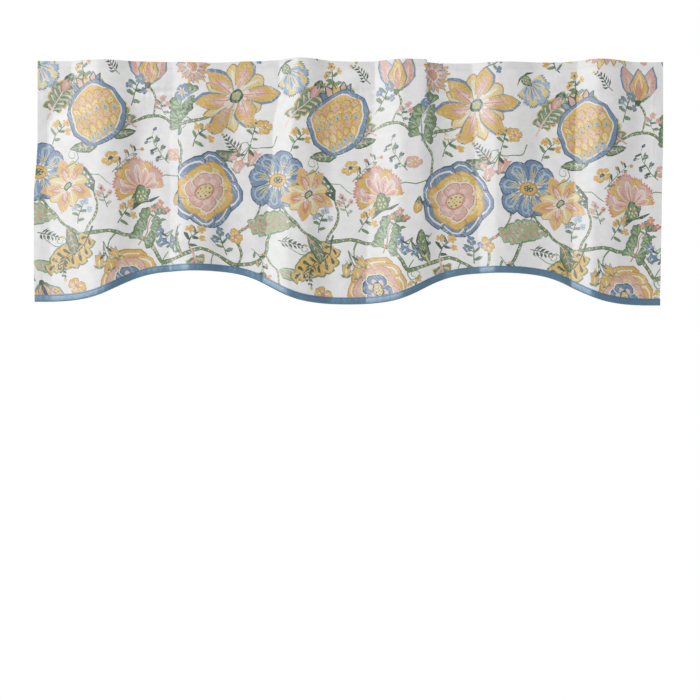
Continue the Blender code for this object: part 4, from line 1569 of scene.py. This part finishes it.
def dye_group():
    """Cloth colour with uneven dye or ink: lighter specks where it missed, and soft darker patches."""
    group, given, put = new_group(
        "Uneven Dye",
        {"Colour": "Color", "Ground": "Color", "Place": "Vector", "Specks": 0.2, "Patches": 0.2, "Cover": 1},
        {"Colour": "Color"},
    )
    place = given["Place"]
    specks = product(group, ramp(group, noise(group, place, 520.0, 2.0), 0.42, 0.72), given["Specks"])
    cover = add_math(group, "SUBTRACT", given["Cover"], specks)
    laid = blend(group, cover, given["Ground"], given["Colour"])
    patches = add_math(group, "SUBTRACT", noise(group, place, 60.0, 3.0), 0.5)
    value = add_math(group, "MULTIPLY_ADD", patches, given["Patches"], 1.0)
    group.links.new(tint(group, laid, Value=value), put["Colour"])
    return group


def block_print_group():
    """Ink as a hand-cut block leaves it: fine strokes and dots of bare or deeper colour within it."""
    group, given, put = new_group(
        "Block Print",
        {"Ink": "Color", "Ground": "Color", "Inked": 1.0, "Place": "Vector", "Strokes": 0.5, "Dots": 0.5},
        {"Colour": "Color"},
    )
    place, inked = given["Place"], given["Inked"]
    patch = noise(group, place, 38.0, 1.0)
    wave = add_node(
        group, "TexWave",
        {"Vector": place, "Scale": 62.0, "Distortion": 9.0, "Detail": 1.0, "Detail Scale": 1.4},
        bands_direction="DIAGONAL",
    )
    stroke, here = ramp(group, wave.outputs["Fac"], 0.74, 0.90), ramp(group, patch, 0.46, 0.54)
    bare = product(group, stroke, here, given["Strokes"], inked)
    cells = add_node(group, "TexVoronoi", {"Vector": place, "Scale": 230.0, "Randomness": 0.7})
    dot, there = ramp(group, cells.outputs["Distance"], 0.34, 0.22), ramp(group, patch, 0.52, 0.44)
    deep = product(group, dot, there, given["Dots"], inked)
    opened = blend(group, bare, given["Ink"], given["Ground"])
    dotted = tint(group, opened, Saturation=1.25, Value=0.72, Fac=deep)
    group.links.new(dotted, put["Colour"])
    return group


SATIN_IOR = 2.3  # high, because the pressed threads of the face shine far more than plain varnish
SATIN_ROUGHNESS = 0.36
BINDING_SHEEN = (172, 212, 238)  # colour of the light that the binding's pressed threads throw back
SLUB_PALER = 0.16  # how much lighter a slub is
WEAVE_HEIGHT, TWIST_HEIGHT = 0.00012, 0.0001  # metres
HEM_SHADE_EDGE = 0.0008  # metres to each side of a hem's edge over which the painted shade of the doubled cloth begins
# painted shade: the face is drawn darker and a little more saturated where a hem lies doubled behind it
HEM_SHADE = {"Saturation": 1.08, "Value": 0.965}

# Each cloth: its shine, its weave (threads a metre, slubs, relief) and its dye (missed specks, uneven
# patches, cover)
Finish = namedtuple("Finish", "roughness gloss satin threads slubs relief specks patches cover")
FACE = Finish(0.55, 0.3, 0.0, 1500.0, 0.5, 0.25, 0.16, 0.22, 1.0)
REVERSE = Finish(0.8, 0.2, 0.0, 1500.0, 0.5, 0.3, 0.12, 0.15, 0.42)
BLUE_COTTON = Finish(0.33, 1.0, 1.0, 1500.0, 1.8, 0.7, 0.42, 0.7, 1.0)
PLAIN_COTTON = Finish(0.75, 0.3, 0.0, 1300.0, 0.8, 0.4, 0.25, 0.15, 1.0)


def new_material(name, values):
    """A material with its node tree and its shader, whose inputs hold the values."""
    material = bpy.data.materials.new(name)
    material.use_nodes = True
    shader = material.node_tree.nodes["Principled BSDF"]
    for label, value in values.items():
        shader.inputs[label].default_value = value
    return material, material.node_tree, shader


class Finishes:
    """The four cloth finishes and the thread, with the node groups that they share."""

    def __init__(self, settings):
        self.settings = settings
        self.weave = weave_group()
        self.dye = dye_group()
        self.block_print = block_print_group()

    def start(self, name, roughness, gloss, satin=0.0):
        """A material with its shine."""
        return new_material(name, {
            "Roughness": roughness, "Specular IOR Level": gloss, "Coat Weight": satin,
            "Coat Roughness": SATIN_ROUGHNESS, "Coat IOR": SATIN_IOR,
        })

    def woven(self, tree, shader, colour, ground, place, finish):
        """Feeds a shader with a dyed weave, and returns its colour."""
        weaving = {"Place": place, "Threads": finish.threads, "Slubs": finish.slubs}
        weave = add_node(tree, "Group", weaving, node_tree=self.weave).outputs
        dyeing = {
            "Colour": colour, "Ground": ground, "Place": place, "Specks": finish.specks,
            "Patches": finish.patches, "Cover": finish.cover,
        }
        dyed = add_node(tree, "Group", dyeing, node_tree=self.dye).outputs[0]
        raise_surface(tree, shader, weave["Height"], finish.relief, WEAVE_HEIGHT)
        return tint(tree, dyed, Value=add_math(tree, "MULTIPLY_ADD", weave["Slub Mask"], SLUB_PALER, 1.0))

    def printed(self, tree, place, ground, strokes, dots):
        """The print's colour from the inks that the mesh holds, and a mask of them."""
        ink = add_node(tree, "VertexColor", layer_name="ink").outputs
        printing = {
            "Ink": ink["Color"], "Ground": ground, "Inked": ink["Alpha"], "Place": place,
            "Strokes": strokes, "Dots": dots,
        }
        drawn = add_node(tree, "Group", printing, node_tree=self.block_print)
        return drawn.outputs[0], ink["Alpha"]

    def printed_face(self):
        """The printed side, satin-like and most so where it is inked."""
        material, tree, shader = self.start("Printed cotton, face", *FACE[:3])
        place, ground = flat_place(tree), (*self.settings.ground, 1.0)
        drawn, inked = self.printed(tree, place, ground, 0.36, 0.9)
        colour = self.woven(tree, shader, drawn, ground, place, FACE)
        # painted shade over the doubled hems
        shaded = blend(tree, self.doubled(tree, place), colour, tint(tree, colour, **HEM_SHADE))
        tree.links.new(shaded, shader.inputs["Base Color"])
        satin = add_node(tree, "MapRange", {0: inked, "To Min": 0.45, "To Max": 1.0})
        tree.links.new(satin.outputs[0], shader.inputs["Coat Weight"])
        return material

    def doubled(self, tree, place):
        """1 where a hem lies behind the cloth."""
        split = add_node(tree, "SeparateXYZ", {0: place})
        across = split.outputs["X"]
        right = add_math(tree, "SUBTRACT", FLAT_WIDTH * MM, across)
        masks = []
        for distance, hem in ((across, SIDE_HEM), (right, SIDE_HEM), (split.outputs["Y"], -TOP_HEM)):
            soft = math.copysign(HEM_SHADE_EDGE, hem)
            masks.append(ramp(tree, distance, hem * MM + soft, hem * MM - soft))
        return add_math(tree, "MAXIMUM", add_math(tree, "MAXIMUM", masks[0], masks[1]), masks[2])

    def printed_reverse(self):
        """The unprinted side, where the larger shapes show through."""
        material, tree, shader = self.start("Printed cotton, reverse", *REVERSE[:3])
        place, ground = flat_place(tree), (*self.settings.reverse, 1.0)
        drawn, _ = self.printed(tree, place, ground, 0.3, 0.3)
        tree.links.new(self.woven(tree, shader, drawn, ground, place, REVERSE), shader.inputs["Base Color"])
        return material

    def plain(self, name, colour, finish):
        """Cloth of one colour."""
        material, tree, shader = self.start(name, *finish[:3])
        pale = tuple(0.6 * share + 0.4 * max(colour) for share in colour)
        made = self.woven(tree, shader, (*colour, 1.0), (*pale, 1.0), flat_place(tree), finish)
        tree.links.new(made, shader.inputs["Base Color"])
        return material

    def thread(self, name, colour):
        """Twisted sewing thread."""
        material, tree, shader = self.start(name, 0.55, 0.4)
        place = add_node(tree, "TexCoord").outputs["Object"]
        waves = {"Vector": place, "Scale": 900.0, "Distortion": 2.0}
        twist = add_node(tree, "TexWave", waves, bands_direction="DIAGONAL").outputs["Fac"]
        # painted shade: the thread is drawn darker where its twist dips, following the same wave as its bump
        shade = add_math(tree, "MULTIPLY_ADD", twist, 0.25, 0.82)
        tree.links.new(tint(tree, (*colour, 1.0), Value=shade), shader.inputs["Base Color"])
        raise_surface(tree, shader, twist, 0.4, TWIST_HEIGHT)
        return material


# ---- Settings ----

def colour_of(label, description, red, green, blue):
    """A colour that a user can change, given as on a screen."""
    return FloatVectorProperty(
        name=label, description=description, default=linear(red, green, blue), subtype="COLOR", size=3,
        min=0.0, max=1.0,
    )


class ValanceInks(bpy.types.PropertyGroup):
    """The inks of the print."""

    __annotations__ = {
        ink: colour_of(ink.title(), f"Colour of the {ink} ink", *shade) for ink, shade in INKS.items()
    }


class ValanceCloth(bpy.types.PropertyGroup):
    """The cloths and threads."""

    ground: colour_of("Ground", "Colour of the cloth between the flowers", 250, 250, 250)
    reverse: colour_of("Reverse", "Colour of the unprinted side", 240, 238, 231)
    binding: colour_of("Binding", "Colour of the strip over the lower edge", 46, 116, 159)
    tabs: colour_of("Tabs", "Colour of the tabs on the back", 240, 237, 228)
    white_thread: colour_of("White thread", "Thread of the hems and tabs", 245, 243, 236)
    blue_thread: colour_of("Blue thread", "Thread of the binding", 60, 96, 130)


class ValanceStage(bpy.types.PropertyGroup):
    """The stage, its light and its camera."""

    camera_distance: FloatProperty(
        name="Camera distance", description="From the valance to the camera", default=2.7, min=0.5,
        subtype="DISTANCE", unit="LENGTH",
    )
    room_light: FloatProperty(
        name="Room light", description="Strength of the light from all round", default=0.53, min=0.0
    )
    key_light: FloatProperty(
        name="Window light", description="Power of the large light on the left", default=112.0, min=0.0,
        unit="POWER",
    )


# ---- Operators ----

@cache
def workroom():
    """The cloth and the finishes, made once for all operators."""
    return Cloth(), Finishes(bpy.context.scene.valance_cloth)


def finished(piece, node):
    """Ties a piece to the root body, and hides the solid that it dresses."""
    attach(piece, "root")
    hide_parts(node)


class VALANCE_OT_panel(bpy.types.Operator):
    """Cut, print and hang the panel"""

    bl_idname = "valance.panel"
    bl_label = "Printed Panel"

    def execute(self, context):
        cloth, finishes = workroom()
        scene = context.scene
        inks = [(*scene.valance_cloth.ground, 0.0)]
        inks += [(*getattr(scene.valance_inks, ink), 1.0) for ink in INK_NAMES[1:]]
        materials = [finishes.printed_face(), finishes.printed_reverse()]
        panel = make_panel(cloth, Print.over(cloth.outline), inks, materials)
        finished(panel, "panel")
        thread = finishes.thread("White thread", scene.valance_cloth.white_thread)
        seams = make_stitches("hem_stitches", cloth_seams(cloth), thread)
        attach(seams, "root")
        area = outline_area(cloth.outline) * MM * MM
        return {"FINISHED"}


def cloth_seams(cloth):
    """The stitches of the top hem and the side hems, and those of the tabs that show in front."""
    up, inset = TOP_SEAM_IN - TOP_HEM, SIDE_HEM - SIDE_SEAM_IN
    seams = [flat_seam(cloth, complex(SEAM_ENDS_IN, up), complex(FLAT_WIDTH - SEAM_ENDS_IN, up))]
    for across in (inset, FLAT_WIDTH - inset):
        lowest = np.interp(across, cloth.lower.real, cloth.lower.imag) + BINDING_WIDTH
        seams.append(flat_seam(cloth, complex(across, up - SEAM_BELOW), complex(across, lowest)))
    for pinch in PINCHES:
        ends = pinch.x + np.array([-0.5, 0.5]) * TAB_WIDTH
        seams.append(flat_seam(cloth, *(cloth.hanging.across_at(ends, SEAM_DROP) - 1j * SEAM_DROP / MM)))
    return seams


class VALANCE_OT_binding(bpy.types.Operator):
    """Bind the lower edge"""

    bl_idname = "valance.binding"
    bl_label = "Hem Binding"

    def execute(self, context):
        cloth, finishes = workroom()
        settings = context.scene.valance_cloth
        material = finishes.plain("Blue cotton", settings.binding, BLUE_COTTON)
        sheen = material.node_tree.nodes["Principled BSDF"].inputs
        sheen["IOR"].default_value = SATIN_IOR
        sheen["Specular Tint"].default_value = (*linear(*BINDING_SHEEN), 1.0)
        binding = make_binding(cloth, [material])
        finished(binding, "hem_binding")
        thread = finishes.thread("Blue thread", settings.blue_thread)
        seam = make_stitches("binding_stitches", binding_seams(cloth), thread)
        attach(seam, "root")
        length = np.abs(np.diff(cloth.lower)).sum() * MM
        return {"FINISHED"}


def binding_seams(cloth):
    """Stitches through the binding, seen on its front and on its back."""
    centre = np.arange(STITCH_PITCH, FLAT_WIDTH - 1.0, STITCH_PITCH)
    seams = []
    for side in (1.0, -1.0):
        ends = []
        for shift in (-0.5, 0.5):
            places, normals, back = hem_places(cloth, centre + shift * STITCH_LENGTH, BINDING_SEAM)
            depth = np.where(side > 0.0, BINDING_FRONT, back) + BINDING_SEAM_OUT * BINDING_LAYERS
            ends.append(places + normals * side * depth[:, None] * MM)
        seams.append((*ends, normals * side))
    return seams


class VALANCE_OT_tabs(bpy.types.Operator):
    """Sew the tabs to the back"""

    bl_idname = "valance.tabs"
    bl_label = "Back Tabs"

    def execute(self, context):
        cloth, finishes = workroom()
        settings = context.scene.valance_cloth
        material = finishes.plain("Plain cotton", settings.tabs, PLAIN_COTTON)
        thread = finishes.thread("Tab thread", settings.white_thread)
        for pinch in PINCHES:
            tab = make_tab(cloth, pinch.tab, pinch.x, [material])
            finished(tab, f"tab_{pinch.tab}")
            seams = make_stitches(f"tab_{pinch.tab}_stitches", tab_seams(cloth, pinch.x), thread)
            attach(seams, "root")
        return {"FINISHED"}


def tab_seams(cloth, place):
    """The stitches across both sewn ends of a tab, on its back."""
    count = int(0.9 * TAB_WIDTH / MM / STITCH_PITCH)
    x = place + (np.arange(2 * count + 1) - count) * 0.5 * STITCH_PITCH * MM
    rows = tab_line(cloth, place, x)
    lift = between(np.array([place]), TOP_EDGE, "x", "lift")[0]
    seams = []
    for drops, backs in (rows[1], rows[-2]):
        line = np.stack([x, backs + 0.5 * TAB_LAYERS * MM, lift - drops], axis=1)
        middle = 0.5 * (line[:-2:2] + line[2::2])
        half = 0.5 * (line[2::2] - line[:-2:2]) * STITCH_LENGTH / STITCH_PITCH
        seams.append((middle - half, middle + half, np.tile([0.0, 1.0, 0.0], (len(middle), 1))))
    return seams


class VALANCE_OT_stage(bpy.types.Operator):
    """Set the floor, the light and the camera"""

    bl_idname = "valance.stage"
    bl_label = "Stage"

    def execute(self, context):
        settings = context.scene.valance_stage
        make_floor()
        make_lights(settings)
        make_camera(settings.camera_distance)
        return {"FINISHED"}


# ---- Stage ----

FLOOR_DROP = 2.1  # metres from the top edge down to the floor of the room
FLOOR_RADIUS = 1.5
METRES_PER_PIXEL = 0.00188  # where the valance hangs, in the 700-pixel frame
FRAME_PIXELS = 700
VIEW_CENTRE = (0.00188, -0.5405)  # X and Z in the middle of the frame

WHITE = (1.0, 1.0, 1.0, 1.0)
REFLECTED_ROOM = 0.24  # strength of the room's light in the sheen of the cloth, which mirrors mostly a window
LIT_PLACE = (0.0, 0.0, -0.25)  # what the windows shine on
WINDOW_AWAY = 5.0  # metres

# The two large lights: size in metres, degrees to the left of straight before the valance, degrees up, and
# share of the set power
Window = namedtuple("Window", "name size left up share")
WINDOWS = (
    Window("Window light", (4.6, 5.6), 46.0, 20.0, 1.0),
    Window("Back light", (3.0, 2.4), 205.0, 32.0, 0.55),
)


def make_floor():
    """A pale round floor far below."""
    turns = np.linspace(0.0, 2.0 * math.pi, 96, endpoint=False)
    ring = [(FLOOR_RADIUS * math.cos(turn), FLOOR_RADIUS * math.sin(turn), -FLOOR_DROP) for turn in turns]
    material, *_ = new_material("Pale floor", {"Base Color": (0.82, 0.82, 0.81, 1.0), "Roughness": 0.9})
    floor = new_piece("floor", ring, [tuple(range(len(ring)))], [material])


def make_lights(settings):
    """Even light from all round, a white backdrop, and two large lights."""
    world = bpy.data.worlds.new("White room")
    bpy.context.scene.world = world
    world.use_nodes = True
    tree = world.node_tree
    tree.nodes.clear()
    path = add_node(tree, "LightPath").outputs
    strengths = {0: path["Is Glossy Ray"], "To Min": settings.room_light, "To Max": REFLECTED_ROOM}
    strength = add_node(tree, "MapRange", strengths).outputs[0]
    room = add_node(tree, "Background", {"Color": WHITE, "Strength": strength}).outputs[0]
    backdrop = add_node(tree, "Background", {"Color": WHITE, "Strength": 1.0}).outputs[0]
    mix = add_node(tree, "MixShader", {0: path["Is Camera Ray"], 1: room, 2: backdrop})
    add_node(tree, "OutputWorld", {0: mix.outputs[0]})
    for window in WINDOWS:
        lamp = bpy.data.lights.new(window.name, "AREA")
        lamp.shape = "RECTANGLE"
        lamp.size, lamp.size_y = window.size
        lamp.energy = settings.key_light * window.share
        light = bpy.data.objects.new(window.name, lamp)
        bpy.context.scene.collection.objects.link(light)
        light.visible_camera = False
        left, up = math.radians(window.left), math.radians(window.up)
        away = Vector((-math.sin(left) * math.cos(up), -math.cos(left) * math.cos(up), math.sin(up)))
        light.location = Vector(LIT_PLACE) + away * WINDOW_AWAY
        light.rotation_euler = away.to_track_quat("Z", "Y").to_euler()


def make_camera(distance):
    """A camera level with the middle of the frame, framed so that a pixel is its size on the valance."""
    lens = bpy.data.cameras.new("Camera")
    lens.sensor_width = 36.0
    lens.lens = lens.sensor_width * distance / (METRES_PER_PIXEL * FRAME_PIXELS)
    camera = bpy.data.objects.new("Camera", lens)
    bpy.context.scene.collection.objects.link(camera)
    camera.location = (VIEW_CENTRE[0], -distance, VIEW_CENTRE[1])
    camera.rotation_euler = (math.pi / 2.0, 0.0, 0.0)
    bpy.context.scene.camera = camera
    bpy.context.scene.view_settings.view_transform = "Standard"


# ---- Panel and registration ----

OPERATORS = (VALANCE_OT_stage, VALANCE_OT_panel, VALANCE_OT_binding, VALANCE_OT_tabs)


class VALANCE_PT_sidebar(bpy.types.Panel):
    """The valance's settings and steps"""

    bl_label = "Window Valance"
    bl_space_type = "VIEW_3D"
    bl_region_type = "UI"
    bl_category = "Valance"

    def draw(self, context):
        scene = context.scene
        for group in (scene.valance_cloth, scene.valance_inks, scene.valance_stage):
            box = self.layout.box()
            for name in group.bl_rna.properties.keys():
                if name not in ("rna_type", "name"):
                    box.prop(group, name)
        for operator in OPERATORS:
            self.layout.operator(operator.bl_idname)


SETTINGS = {"valance_cloth": ValanceCloth, "valance_inks": ValanceInks, "valance_stage": ValanceStage}


def register():
    for group in SETTINGS.values():
        bpy.utils.register_class(group)
    for name, group in SETTINGS.items():
        setattr(bpy.types.Scene, name, PointerProperty(type=group))
    for operator in OPERATORS:
        bpy.utils.register_class(operator)
    bpy.utils.register_class(VALANCE_PT_sidebar)


def unregister():
    bpy.utils.unregister_class(VALANCE_PT_sidebar)
    for operator in reversed(OPERATORS):
        bpy.utils.unregister_class(operator)
    for name, group in SETTINGS.items():
        delattr(bpy.types.Scene, name)
        bpy.utils.unregister_class(group)


def main():
    register()
    bpy.ops.valance.stage()
    bpy.ops.valance.panel()
    bpy.ops.valance.binding()
    bpy.ops.valance.tabs()


if __name__ == "__main__":
    main()
